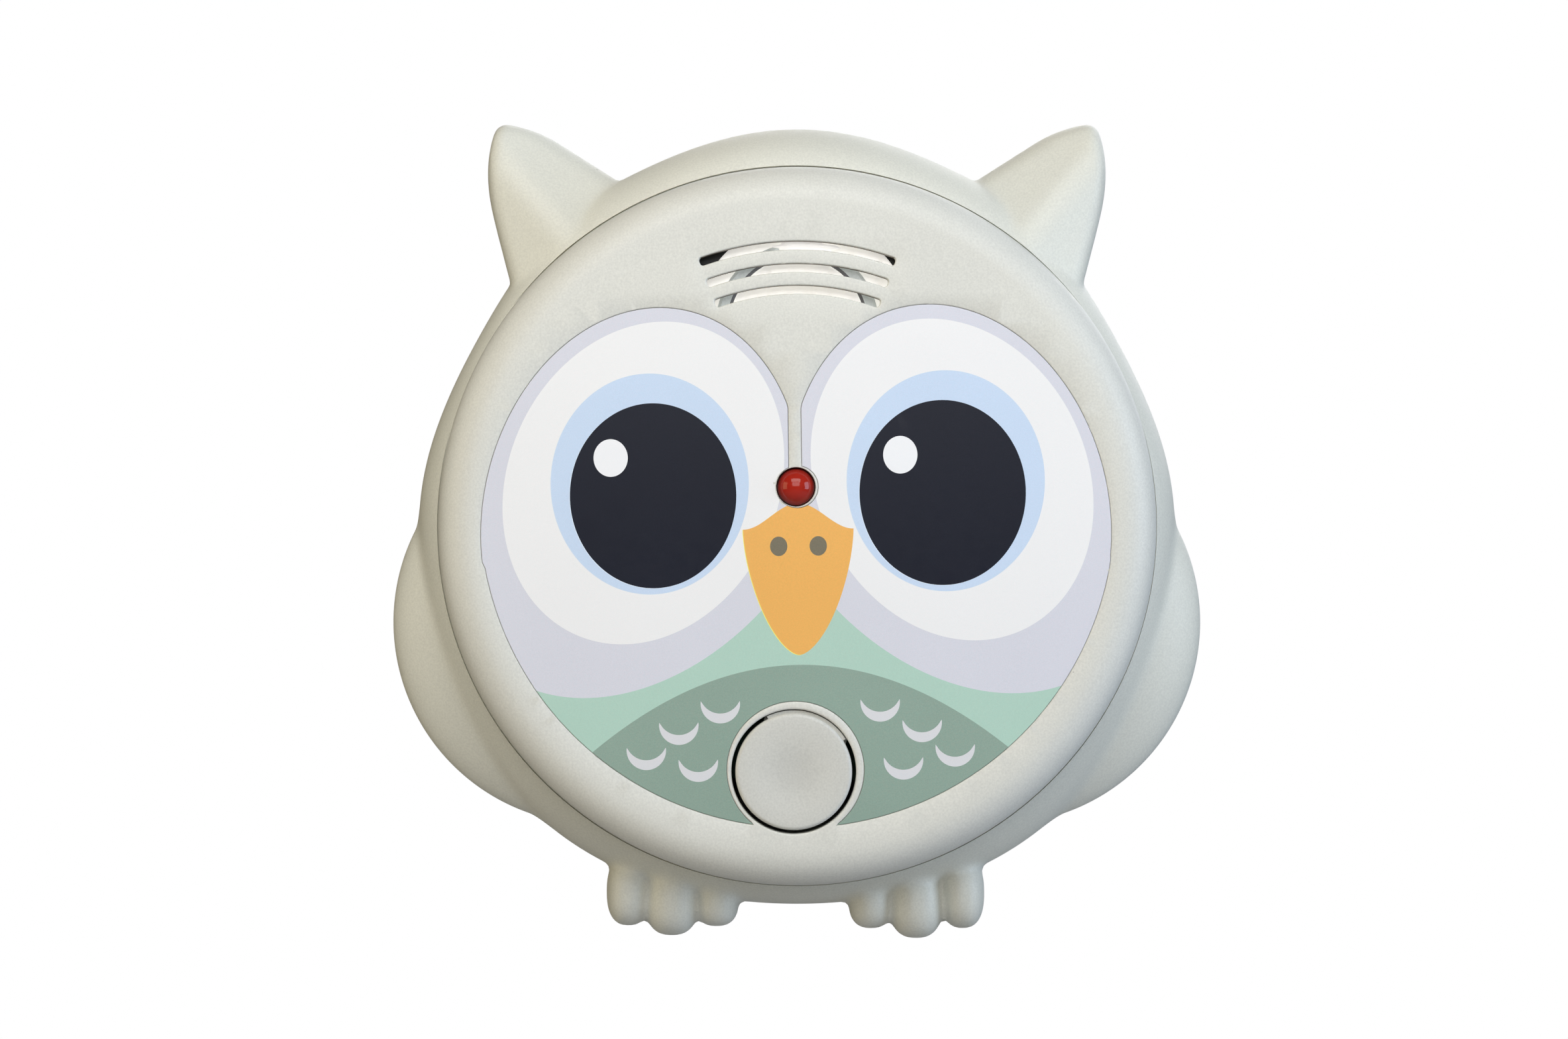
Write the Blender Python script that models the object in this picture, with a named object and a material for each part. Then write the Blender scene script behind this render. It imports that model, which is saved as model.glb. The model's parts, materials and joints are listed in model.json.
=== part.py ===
"""Owl-shaped carbon monoxide alarm, hanging on its wall ring by a bayonet.

+Z is up, the face looks toward -Y and +X is to the viewer's right. The origin lies on the wall (y = 0), on
the axis of the round body. Sizes are millimetres; MM turns them into metres where a mesh is made. "Reach"
is a distance from the ring-shaped core of the housing, and the wall side of every piece is its +Y side.
"""
import math

import bmesh
import bpy
import numpy as np
from mathutils.geometry import delaunay_2d_cdt

MM = 0.001
GAP = 0.3                      # air between pieces that touch

# Front cover: a round moulding with a slightly domed face.
COVER_R = 50.0
FACE_Y = -38.0                 # the middle of the face
DOME_DROP = 1.0                # how far the face falls back at DOME_R
DOME_R = 45.0
RIM_R = 5.2                    # rounding between face and side
SEAM_Y = -25.0                 # the cover's wall side
COVER_WALL = 2.2
COVER_SIDE_WALL = 2.6

# Back housing: a shell whose skin is measured from a ring-shaped core.
CORE_R = 46.0
CORE_Y = -12.0
FRONT_REACH = 12.6
BACK_REACH = 11.4
HOUSING_WALL = 2.2
CAVITY_FLOOR_Y = -8.0
CAVITY_FRONT_Y = -21.4
FRONT_POWER = 2.2              # how square the oval section is, in front of the core and behind it
BACK_POWER = 3.0
BODY_OUTLINE = ((-90, 54.3), (-50, 55.9), (0, 54.3), (28, 53.1), (62, 55.7), (90, 57.0))  # angle, radius
LIP_R = (44.6, 46.7)           # locating lip that enters the cover
LIP_Y = -27.0

# Bayonet between housing and wall ring.
RECESS_R = 48.3
RECESS_FLOOR_Y = -5.6
RING_R = (33.0, 44.0)
RING_THICK = 2.6
RING_RIM = (1.6, 4.8)          # width and height of the stiffening rim
SCREW_SLOT_HALF = 2.0          # wall-screw slots: half width, keyhole radius and length in degrees
KEYHOLE_R = 3.9
SCREW_SLOT_SPAN = 26.0
TAB_ANGLES = (90, 210, 330)
TAB_WIDTH = 16.0               # degrees
HOUSING_TAB_Y = (-3.1, -1.2)
RING_TAB_Y = (-5.2, -3.5)

# Battery bay, cells and door.
CELL_R = 7.1
CELL_LENGTH = 50.5
CELL_Y = -15.2
CELL_Z = 7.5
BAY_X = 27.9
BAY_Z = 16.1
BAY_BOTTOM_Y = -22.6
BAY_WALL = 1.5
DOOR_Y = (-7.7, -5.9)
DOOR_X = 27.2
DOOR_BOTTOM_Z = -15.7
PIN_REACH = 0.6                # how far each hinge pin enters the bay wall
PIN_R = 0.6
DOOR_HINGE = (-6.8, 15.0)      # y, z
CONTACT_X = (27.0, 27.4)

# Circuit board and what stands on it.
BOARD_R = 36.6
BOARD_Y = (-26.0, -24.4)
BOARD_FRONT = BOARD_Y[0] - GAP
BOARD_BACK = BOARD_Y[1] + GAP
BOARD_SCREW_X = 33.2
COVER_SCREW = 28.7             # x and z of each cover screw
LED_AT = (-0.2, 5.4)
LEG_PITCH = 2.54               # between the LED's two legs
SOUNDER_AT = (0.9, 27.2)

# Test button on its flexure arm.
BUTTON_AT = (-0.5, -33.8)
BUTTON_R = 8.05
BUTTON_HOLE_R = 8.6
ARM_HALF = 3.0
ARM_TILT = math.radians(16)    # from straight up, to the viewer's right
ARM_LENGTH = 19.0              # button centre to hinge

# Sound slots: three arcs about one centre.
SLOT_CENTRE = (0.0, -0.5)
SLOT_RADII = (39.2, 36.1, 33.1)
SLOT_HALF_SPANS = (19.2, 19.2, 19.0)
SLOT_HEIGHT = 1.2

# Label: its outline is drawn level, then turned and moved as a whole. Circles are x, z, radius.
LABEL_TURN = math.radians(0.75)
LABEL_SHIFT = -0.2
EYE_LOBE = (21.25, 2.3, 21.75, 28.3, math.radians(13.6))   # x, z, half width, half height, lean
CHIN = (0.2, 2.2, 43.7)
CHIN_TOP_Z = -4.5              # where the lobes run into the chin
CHANNEL_HALF = 0.93
LED_RING = (0.25, 5.4, 2.93)
BUTTON_RING = (-0.5, -33.56, 9.5)


# ---------------------------------------------------------------- helpers

def clear_scene():
    for obj in list(bpy.data.objects):
        bpy.data.objects.remove(obj, do_unlink=True)


def material(name, rgb, roughness=0.5, metallic=0.0):
    """Return the Principled material of this name, made once."""
    if name in bpy.data.materials:
        return bpy.data.materials[name]
    mat = bpy.data.materials.new(name)
    mat.use_nodes = True
    shader = mat.node_tree.nodes["Principled BSDF"]
    shader.inputs["Base Color"].default_value = (*rgb, 1.0)
    shader.inputs["Roughness"].default_value = roughness
    shader.inputs["Metallic"].default_value = metallic
    return mat


def add_mesh(name, verts, faces, mat=None, origin=(0, 0, 0)):
    """Make an object from points in millimetres, with its origin at the given point."""
    local = (np.asarray(verts, float) - origin) * MM
    mesh = bpy.data.meshes.new(name)
    mesh.from_pydata(local.tolist(), [], faces)
    bm = bmesh.new()
    bm.from_mesh(mesh)
    bmesh.ops.recalc_face_normals(bm, faces=bm.faces)
    bm.to_mesh(mesh)
    bm.free()
    mesh.shade_smooth()
    mesh.set_sharp_from_angle(angle=math.radians(35))
    obj = bpy.data.objects.new(name, mesh)
    obj.location = [value * MM for value in origin]
    bpy.context.collection.objects.link(obj)
    if mat:
        mesh.materials.append(mat)
    return obj


def boolean(target, tool, operation):
    mod = target.modifiers.new(operation.title(), "BOOLEAN")
    mod.operation = operation
    mod.object = tool
    tool.hide_render = True
    tool.display_type = "WIRE"


def cut(target, *tools):
    for tool in tools:
        boolean(target, tool, "DIFFERENCE")


def join(target, *tools):
    for tool in tools:
        boolean(target, tool, "UNION")


def turned(name, profile, mat=None, centre=(0, 0), segments=32, axis="Y", origin=(0, 0, 0)):
    """Turn a profile of (radius, place along the axis) about an axis through centre.

    A profile that starts and ends on the axis makes a solid; any other closes on itself as a ring.
    """
    verts, rings = [], []
    for radius, along in profile:
        count = 1 if radius == 0 else segments
        rings.append(range(len(verts), len(verts) + count))
        for i in range(count):
            turn = 2 * math.pi * (i + 0.5) / segments
            side, up = radius * math.cos(turn), radius * math.sin(turn)
            if axis == "Y":
                verts.append((centre[0] + side, along, centre[1] + up))
            else:
                verts.append((along, centre[0] + side, centre[1] + up))
    closed = profile[0][0] > 0
    pairs = list(zip(rings, rings[1:] + rings[:1] if closed else rings[1:]))
    faces = []
    for first, second in pairs:
        for i in range(segments):
            j = (i + 1) % segments
            corners = [first[i % len(first)], first[j % len(first)],
                       second[j % len(second)], second[i % len(second)]]
            faces.append(list(dict.fromkeys(corners)))
    return add_mesh(name, verts, faces, mat, origin)


def prism(name, outline, y_front, y_back, mat=None, origin=(0, 0, 0)):
    """Extrude an outline of (x, z) points along Y."""
    count = len(outline)
    verts = [(x, y, z) for y in (y_front, y_back) for x, z in outline]
    faces = [list(range(count)), list(range(2 * count - 1, count - 1, -1))]
    faces += [[i, (i + 1) % count, count + (i + 1) % count, count + i] for i in range(count)]
    return add_mesh(name, verts, faces, mat, origin)


def block(name, low, high, mat=None, origin=(0, 0, 0)):
    outline = [(low[0], low[2]), (high[0], low[2]), (high[0], high[2]), (low[0], high[2])]
    return prism(name, outline, low[1], high[1], mat, origin)


def rod(name, centre, radius, y_front, y_back, mat=None, segments=14):
    profile = [(0, y_front), (radius, y_front), (radius, y_back), (0, y_back)]
    return turned(name, profile, mat, centre, segments)


def wire(name, points, radius, mat, resolution=2):
    """A round wire along a list of points, as a bevelled curve with filled ends."""
    curve = bpy.data.curves.new(name, "CURVE")
    curve.dimensions = "3D"
    curve.bevel_depth = radius * MM
    curve.bevel_resolution = resolution
    curve.use_fill_caps = True
    spline = curve.splines.new("POLY")
    spline.points.add(len(points) - 1)
    for spot, point in zip(spline.points, points):
        spot.co = (*[value * MM for value in point], 1.0)
    curve.materials.append(mat)
    obj = bpy.data.objects.new(name, curve)
    bpy.context.collection.objects.link(obj)
    return obj


def arc(centre, radius, start, end, count):
    """Points (x, z) on an arc; the angles are degrees from +X toward +Z."""
    angles = np.radians(np.linspace(start, end, count))
    return [(centre[0] + radius * math.cos(a), centre[1] + radius * math.sin(a)) for a in angles]


def sector(name, r_in, r_out, middle, width, y_front, y_back, count=5):
    """A stretch of a flat ring, centred on an angle in degrees."""
    outer = arc((0, 0), r_out, middle - width / 2, middle + width / 2, count)
    inner = arc((0, 0), r_in, middle + width / 2, middle - width / 2, count)
    return prism(name, outer + inner, y_front, y_back)


def steel():
    return material("steel", (0.62, 0.62, 0.62), 0.3, 1.0)


def black_plastic():
    return material("black_plastic", (0.03, 0.03, 0.03))


def housing_plastic():
    return material("housing_plastic", (0.69, 0.69, 0.64))


def turn_points(points, angle):
    c, s = math.cos(angle), math.sin(angle)
    return [(x * c - z * s, x * s + z * c) for x, z in points]


# ---------------------------------------------------------------- skin of the back housing

def smooth_min(a, b, blend):
    share = np.clip(0.5 + 0.5 * (b - a) / blend, 0.0, 1.0)
    return b * (1 - share) + a * share - blend * share * (1 - share)


def body_distance(x, y, z):
    """Round body: an oval section around the core, whose outer radius follows BODY_OUTLINE."""
    angle = np.degrees(np.arctan2(z, np.abs(x)))
    keys, radii = zip(*BODY_OUTLINE)
    place = np.clip(np.searchsorted(keys, angle) - 1, 0, len(keys) - 2)
    keys, radii = np.array(keys, float), np.array(radii)
    share = (angle - keys[place]) / (keys[place + 1] - keys[place])
    share = (1 - np.cos(np.pi * share)) / 2
    side_reach = radii[place] * (1 - share) + radii[place + 1] * share - CORE_R
    out = np.maximum(np.hypot(x, z) - CORE_R, 0) / side_reach
    front = np.maximum(CORE_Y - y, 0) / FRONT_REACH
    back = np.maximum(y - CORE_Y, 0) / BACK_REACH
    size = (out ** FRONT_POWER + front ** FRONT_POWER) ** (1 / FRONT_POWER)
    size += (out ** BACK_POWER + back ** BACK_POWER) ** (1 / BACK_POWER) - out
    return (size - 1) * side_reach


def ellipsoid_distance(point, centre, half):
    q = [(p - c) / h for p, c, h in zip(point, centre, half)]
    return (np.sqrt(q[0] ** 2 + q[1] ** 2 + q[2] ** 2) - 1) * min(half)


# Each ear is a solid cut by planes: a point (x, y, z) on the plane and its outward direction.
EAR_PLANES = (
    ((32.0, 0, 53.6), (-0.54, 0, 0.84)),      # upper edge
    ((41.3, 0, 57.9), (-0.10, 0, 1.0)),       # blunt tip
    ((44.4, 0, 51.6), (0.98, 0, 0.17)),       # outer edge, upper part
    ((42.9, 0, 42.1), (0.97, 0, -0.26)),      # outer edge, lower part
    ((40.1, 0, 35.7), (-0.37, 0, -0.93)),     # lower end
    ((27.0, 0, 45.0), (-1.0, 0, 0)),          # inner end
    ((35.1, -22.0, 43.9), (0, -1.0, 0.606)),      # front facet above the ridge
    ((35.1, -22.0, 43.9), (0.5, -1.0, 0.333)),    # front facet below the ridge
    ((0, -5.0, 0), (0, 1.0, 0)),              # wall side
)
EAR_ROUNDING = 2.2
WING = ((28.9, -13.0, -13.8), (29.1, 10.5, 29.1))          # centre, half sizes
TOES = (                                                    # centre x, centre z, half sizes
    (-24.2, -51.4, (3.1, 7.0, 6.0)), (-17.6, -51.9, (3.4, 7.5, 6.9)), (-11.2, -52.0, (2.9, 7.0, 5.6)),
    (10.1, -52.0, (2.8, 7.0, 5.9)), (16.6, -52.0, (3.4, 7.5, 7.2)), (23.2, -51.6, (2.9, 7.0, 6.2)),
)
TOE_Y = -14.0
CREASE = 1.2                   # softness where ears, wings and toes grow out of the body


def ear_distance(x, y, z):
    result = None
    for point, out in EAR_PLANES:
        length = math.sqrt(sum(value * value for value in out))
        here = sum((p - q) * n for p, q, n in zip((x, y, z), point, out)) / length
        result = here if result is None else -smooth_min(-result, -here, EAR_ROUNDING)
    return result


def housing_distance(x, y, z):
    """Below zero inside the housing's outer skin, above zero outside."""
    side = np.abs(x)
    skin = smooth_min(body_distance(x, y, z), ear_distance(side, y, z), CREASE)
    skin = smooth_min(skin, ellipsoid_distance((side, y, z), *WING), CREASE)
    toes = None
    for centre_x, centre_z, half in TOES:
        toe = ellipsoid_distance((x, y, z), (centre_x, TOE_Y, centre_z), half)
        toes = toe if toes is None else smooth_min(toes, toe, CREASE / 2)
    return smooth_min(skin, toes, CREASE)


def cavity_distance(x, y, z):
    """The hollow of the housing: the outer skin moved in by the wall, with flat ends."""
    ends = np.maximum(y - CAVITY_FLOOR_Y, CAVITY_FRONT_Y - y)
    return np.maximum(housing_distance(x, y, z) + HOUSING_WALL, ends)


def skin_angles(coarse, fine):
    """Angles around the body in degrees, closer together at the ears and the feet."""
    angles = [27.0]
    while angles[-1] < 387.0 - coarse:
        here = angles[-1] % 360
        step = fine if 38 < here < 66 or 114 < here < 142 or 240 < here < 300 else coarse
        angles.append(angles[-1] + step)
    return np.radians(angles)


def skin_object(name, distance, angles, across, reach_limit=34.0, mat=None):
    """Close a skin around the core: rays leave the core ring and stop where distance is zero."""
    around = len(angles)
    turn = angles[:, None]
    swing = np.linspace(-math.pi / 2, math.pi / 2, across)[None, :]
    low = np.zeros((around, across))
    high = np.full((around, across), reach_limit)

    def place(reach):
        radius = CORE_R + reach * np.cos(swing)
        return radius * np.cos(turn), CORE_Y + reach * np.sin(swing), radius * np.sin(turn)

    for _ in range(30):
        middle = (low + high) / 2
        inside = distance(*place(middle)) < 0
        low = np.where(inside, middle, low)
        high = np.where(inside, high, middle)
    verts = np.stack(np.broadcast_arrays(*place(low)), axis=-1).reshape(-1, 3).tolist()
    faces = []
    for i in range(around):
        j = (i + 1) % around
        for k in range(across - 1):
            faces.append([i * across + k, i * across + k + 1, j * across + k + 1, j * across + k])
    faces.append([i * across for i in range(around)])
    faces.append([i * across + across - 1 for i in range(around)])
    return add_mesh(name, verts, faces, mat)


# ---------------------------------------------------------------- wall ring and housing

def build_wall_ring():
    """Flat ring with a stiffening rim, three bayonet tabs and three keyhole slots for wall screws."""
    r_in, r_out = RING_R
    rim_y, rim_r = -RING_RIM[1], r_in + RING_RIM[0]
    profile = [(r_in, 0), (r_out, 0), (r_out, -RING_THICK), (rim_r, -RING_THICK), (rim_r, rim_y),
               (r_in, rim_y)]
    ring = turned("mounting_ring", profile, material("ring_plastic", (0.62, 0.62, 0.59)), segments=54)
    for number, angle in enumerate(TAB_ANGLES):
        tab = sector(f"ring_tab_{number}", r_out - 1.5, RECESS_R - 0.5, angle, TAB_WIDTH, *RING_TAB_Y)
        leg = sector(f"ring_leg_{number}", r_out - 1.6, r_out + 0.5, angle, TAB_WIDTH - 1, -5.1, -1.0)
        join(ring, leg, tab)
        middle = angle + 60
        slot_r = (r_in + r_out) / 2 + 0.6
        slot = sector(f"screw_slot_{number}", slot_r - SCREW_SLOT_HALF, slot_r + SCREW_SLOT_HALF, middle,
                      SCREW_SLOT_SPAN, -4, 1)
        slot_end = arc((0, 0), slot_r, middle - SCREW_SLOT_SPAN / 2, middle, 2)[0]
        keyhole = rod(f"screw_keyhole_{number}", slot_end, KEYHOLE_R, -4, 1)
        cut(ring, slot, keyhole)
    return ring


def screw_places():
    return [(x, z) for x in (-COVER_SCREW, COVER_SCREW) for z in (-COVER_SCREW, COVER_SCREW)]


def build_housing():
    """Back shell with ears, wings and toes, battery bay, bosses and the bayonet recess."""
    housing = skin_object("back_housing", housing_distance, skin_angles(6.0, 1.7), 11,
                          mat=housing_plastic())
    cut(housing, skin_object("hollow", cavity_distance, skin_angles(9.0, 5.5), 8))
    lip_in = LIP_R[0] - 1.0        # the opening below trims the lip to its size
    lip_profile = [(lip_in, LIP_Y), (LIP_R[1], LIP_Y), (LIP_R[1], -23.2), (lip_in, -23.2)]
    join(housing, turned("locating_lip", lip_profile, segments=56))
    cut(housing, rod("front_opening", (0, 0), LIP_R[0], LIP_Y - 1, -18, segments=56))
    cut(housing, rod("wall_recess", (0, 0), RECESS_R, RECESS_FLOOR_Y, 3, segments=56))
    for number, angle in enumerate(TAB_ANGLES):
        join(housing, sector(f"housing_tab_{number}", 45.0, RECESS_R + 1, angle, TAB_WIDTH, *HOUSING_TAB_Y))
    tub_bottom = BAY_BOTTOM_Y - 1.3
    join(housing, block("bay_walls", (-BAY_X - BAY_WALL, tub_bottom, -BAY_Z - BAY_WALL),
                        (BAY_X + BAY_WALL, CAVITY_FLOOR_Y + 1, BAY_Z + BAY_WALL)))
    for number, place in enumerate(screw_places()):
        join(housing, rod(f"cover_boss_{number}", place, 3.7, -23.2, CAVITY_FLOOR_Y + 1))
        cut(housing, rod(f"boss_bore_{number}", place, 1.8, -24, -5, segments=16))
        cut(housing, rod(f"head_bore_{number}", place, 3.1, -9.4, -5, segments=16))
    for side in (-1, 1):
        place = (side * BOARD_SCREW_X, 0)
        join(housing, rod(f"board_pillar_{side}", place, 2.9, BOARD_BACK, CAVITY_FLOOR_Y + 1))
        cut(housing, rod(f"pillar_bore_{side}", place, 1.4, -25, -14, segments=12))
    cut_battery_bay(housing)
    return housing


def cut_battery_bay(housing):
    """Open the bay toward the wall, with hinge holes, a latch notch and slits for the contact tails."""
    cut(housing, block("bay", (-BAY_X, BAY_BOTTOM_Y, -BAY_Z), (BAY_X, -5, BAY_Z + 0.3)))
    cut(housing, block("latch_notch", (-5.6, -7.3, -19.2), (5.6, -5, -BAY_Z + 0.5)))
    hinge_y, hinge_z = DOOR_HINGE
    pin_hole = [(0, -BAY_X - 1.3), (0.95, -BAY_X - 1.3), (0.95, BAY_X + 1.3), (0, BAY_X + 1.3)]
    cut(housing, turned("hinge_holes", pin_hole, centre=(hinge_y, hinge_z), segments=12, axis="X"))
    for name, side, z in contact_tails():
        x = side * sum(CONTACT_X) / 2
        cut(housing, block(f"slit_{name}", (x - 0.5, -25, z - 1.8), (x + 0.5, -22, z + 1.8)))


def contact_tails():
    """Name, side and height of each contact tail that reaches the circuit board."""
    return (("positive", 1, CELL_Z), ("negative", 1, -CELL_Z))


# ---------------------------------------------------------------- front cover and label

def face_depth(x, z):
    """y of the cover's front face."""
    return FACE_Y + DOME_DROP * (x * x + z * z) / DOME_R ** 2


def cover_profile():
    """Outer face, rim and side, then back along the inside, as (radius, y)."""
    flat_end = COVER_R - RIM_R
    outer = [(r, face_depth(r, 0)) for r in (0, 30, flat_end)]
    rim_y = outer[-1][1] + RIM_R
    outer += [(flat_end + RIM_R * math.sin(a), rim_y - RIM_R * math.cos(a))
              for a in np.radians((18, 36, 54, 72, 90))]
    outer += [(COVER_R - 0.4, SEAM_Y)]
    inner_r = COVER_R - COVER_SIDE_WALL
    inner = [(inner_r, SEAM_Y), (inner_r, rim_y - 0.3), (inner_r - 1.0, rim_y - 2.2)]
    inner += [(r, face_depth(r, 0) + COVER_WALL) for r in (inner_r - 3.2, 26, 0)]
    return outer + inner


def circles_meet(first, second):
    """The point of larger x where two circles (x, z, radius) meet."""
    (x, z, radius), (other_x, other_z, other_radius) = first, second
    gap = math.hypot(other_x - x, other_z - z)
    along = (gap ** 2 + radius ** 2 - other_radius ** 2) / (2 * gap)
    aside = math.sqrt(radius ** 2 - along ** 2)
    toward = ((other_x - x) / gap, (other_z - z) / gap)
    return max((x + toward[0] * along + way * toward[1] * aside,
                z + toward[1] * along - way * toward[0] * aside) for way in (-1, 1))


def angle_to(point, centre):
    """Direction of a point seen from a centre, in degrees from +X toward +Z."""
    return math.degrees(math.atan2(point[1] - centre[1], point[0] - centre[0]))


def label_side(side, grow):
    """One side of the level outline, as if on the right: LED ring, channel, eye lobe, chin, button ring."""
    x0, z0, half_w, half_h, lean = EYE_LOBE
    turn = np.radians(np.linspace(-66, 126, 26))
    lobe = turn_points([((half_w + grow) * math.sin(a), (half_h + grow) * math.cos(a)) for a in turn], lean)
    lobe = [(x0 + x, z0 + z) for x, z in lobe]
    half = CHANNEL_HALF - grow
    lobe = [p for p in lobe if p[0] > half and p[1] > CHIN_TOP_Z]
    chin = (side * CHIN[0], CHIN[1], CHIN[2] + grow)
    ring = (side * BUTTON_RING[0], BUTTON_RING[1], BUTTON_RING[2] - grow)
    tip = circles_meet(chin, ring)
    chin_start = math.degrees(math.asin((CHIN_TOP_Z - CHIN[1]) / chin[2])) - 2
    led_top = LED_RING[1] + math.sqrt((LED_RING[2] - grow) ** 2 - (half - side * LED_RING[0]) ** 2)
    channel = [(half, led_top), (half, lobe[0][1] - 0.5)]
    return channel + lobe + arc(chin, chin[2], chin_start, angle_to(tip, chin), 12)


def label_outline(grow=0.0):
    """Closed outline of the label: two eye lobes, a round chin, and gaps for LED, channel and button."""
    right = label_side(1, grow)
    left = [(-x, z) for x, z in label_side(-1, grow)]
    button_ring = arc(BUTTON_RING, BUTTON_RING[2] - grow, angle_to(right[-1], BUTTON_RING),
                      360 + angle_to(left[-1], BUTTON_RING), 15)[1:-1]
    led_ring = arc(LED_RING, LED_RING[2] - grow, angle_to(left[0], LED_RING),
                   360 + angle_to(right[0], LED_RING), 14)[1:-1]
    outline = turn_points(right + button_ring + left[::-1] + led_ring, LABEL_TURN)
    return [(x + LABEL_SHIFT, z) for x, z in outline]


def domed_sheet(name, outline, front, back, mat=None, step=15.0):
    """A sheet that follows the domed face; front and back are its depths from that face."""
    count = len(outline)
    grid = [(x, z) for x in np.arange(-45, 46, step) for z in np.arange(-45, 46, step)]
    edges = [(i, (i + 1) % count) for i in range(count)]
    flat, _, faces, _, _, _ = delaunay_2d_cdt([*outline, *grid], edges, [list(range(count))], 2, 1e-4)
    used = sorted({i for face in faces for i in face})
    new = {old: i for i, old in enumerate(used)}
    points = [flat[i] for i in used]
    total = len(points)
    verts = [(x, face_depth(x, z) + depth, z) for depth in (front, back) for x, z in points]
    front_faces = [[new[i] for i in face] for face in faces]
    back_faces = [[i + total for i in reversed(face)] for face in front_faces]
    sides = boundary_quads(front_faces, total)
    return add_mesh(name, verts, front_faces + back_faces + sides, mat)


def boundary_quads(faces, offset):
    """Quads that join the open edges of a sheet to its copy, offset further on in the vertex list."""
    directed = {(a, b) for face in faces for a, b in zip(face, face[1:] + face[:1])}
    return [[b, a, a + offset, b + offset] for a, b in directed if (b, a) not in directed]


def slot_cutter(name, radius, half_span):
    """A curved slot with round ends, cut through the face."""
    half = SLOT_HEIGHT / 2
    start, end = 90 - half_span, 90 + half_span
    outline = arc(SLOT_CENTRE, radius + half, start, end, 9)
    outline += arc(arc(SLOT_CENTRE, radius, end, end, 1)[0], half, end, end + 180, 6)[1:-1]
    outline += arc(SLOT_CENTRE, radius - half, end, start, 9)
    outline += arc(arc(SLOT_CENTRE, radius, start, start, 1)[0], half, start + 180, start + 360, 6)[1:-1]
    return prism(name, outline, FACE_Y - 2, FACE_Y + 6)


def build_cover():
    """Front cover with label recess, sound slots, LED and button holes, screw posts and hinge stake."""
    cover = turned("front_cover", cover_profile(), material("cover_plastic", (0.72, 0.72, 0.68)),
                   segments=64)
    inside_y = FACE_Y + COVER_WALL
    for number, place in enumerate(screw_places()):
        join(cover, rod(f"cover_post_{number}", place, 3.2, inside_y - 0.5, -23.6))
    stake_x, stake_z = arm_point(ARM_LENGTH)
    stake = [(0, inside_y - 0.5), (1.2, inside_y - 0.5), (1.2, -33.5), (2.3, -33.5), (2.3, -32.8), (0, -32.8)]
    join(cover, turned("hinge_stake", stake, centre=(stake_x, stake_z), segments=14))
    for number, place in enumerate(screw_places()):
        cut(cover, rod(f"post_bore_{number}", place, 1.3, -34, -20, segments=12))
    for number, (radius, half_span) in enumerate(zip(SLOT_RADII, SLOT_HALF_SPANS)):
        cut(cover, slot_cutter(f"sound_slot_{number}", radius, half_span))
    cut(cover, domed_sheet("label_recess", label_outline(0.2), -1.0, 0.6))
    cut(cover, rod("button_hole", BUTTON_AT, BUTTON_HOLE_R, FACE_Y - 2, -30, segments=32))
    cut(cover, rod("led_hole", LED_AT, 2.7, FACE_Y - 2, -30, segments=18))
    return cover


def build_label():
    """Printed film lying in the cover's recess."""
    film = material("label_film", (0.82, 0.82, 0.84), 0.4)
    return domed_sheet("face_label", label_outline(), 0.05, 0.3, film)


# ---------------------------------------------------------------- test button and LED

def arm_point(along):
    """x, z of a point on the button's arm, measured up from the button's centre."""
    return (BUTTON_AT[0] + along * math.sin(ARM_TILT), BUTTON_AT[1] + along * math.cos(ARM_TILT))


def build_button():
    """Dished round cap with a stem behind it, and the flexure arm with its eye on the cover's stake."""
    hinge_x, hinge_z = arm_point(ARM_LENGTH)
    hinge = (hinge_x, -34.8, hinge_z)
    profile = [(0, -37.3), (4, -37.4), (7.0, -37.6), (7.8, -37.3), (BUTTON_R, -36.8), (BUTTON_R, -34.2),
               (6.9, -34.2), (6.9, -35.8), (1.6, -35.8), (1.6, -31.6), (0, -31.6)]
    button = turned("test_button", profile, material("button_plastic", (0.52, 0.52, 0.48)),
                    BUTTON_AT, 32, origin=hinge)
    root, tip = 5.5, ARM_LENGTH + 1.5
    ends = []
    for along, side in ((root, -ARM_HALF), (root, ARM_HALF), (tip, ARM_HALF), (tip, -ARM_HALF)):
        x, z = arm_point(along)
        ends.append((x + side * math.cos(ARM_TILT), z - side * math.sin(ARM_TILT)))
    join(button, prism("button_arm", ends, -35.4, -34.1),
         rod("button_eye", (hinge_x, hinge_z), 3.6, -35.3, -34.0))
    cut(button, rod("eye_hole", (hinge_x, hinge_z), 1.6, -37, -32, segments=14))
    return button


def build_led():
    """5 mm LED with flange and two legs, on a tubular spacer."""
    radius, tip_y = 2.5, FACE_Y - 1.0
    profile = [(0, tip_y)]
    profile += [(radius * math.sin(a), tip_y + radius - radius * math.cos(a))
                for a in np.radians((22, 45, 68, 90))]
    profile += [(radius, -31.6), (2.9, -31.6), (2.9, -30.6), (0, -30.6)]
    led = turned("status_led", profile, material("led_red", (0.45, 0.02, 0.01), 0.15), LED_AT, 18)
    for side in (-1, 1):
        leg = rod(f"led_leg_{side}", (LED_AT[0] + side * LEG_PITCH / 2, LED_AT[1]), 0.25, -31, BOARD_FRONT, segments=6)
        join(led, leg)
    spacer = [(1.9, -30.3), (2.8, -30.3), (2.8, BOARD_FRONT), (1.9, BOARD_FRONT)]
    turned("led_spacer", spacer, black_plastic(), LED_AT, 14)


# ---------------------------------------------------------------- circuit board

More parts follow.
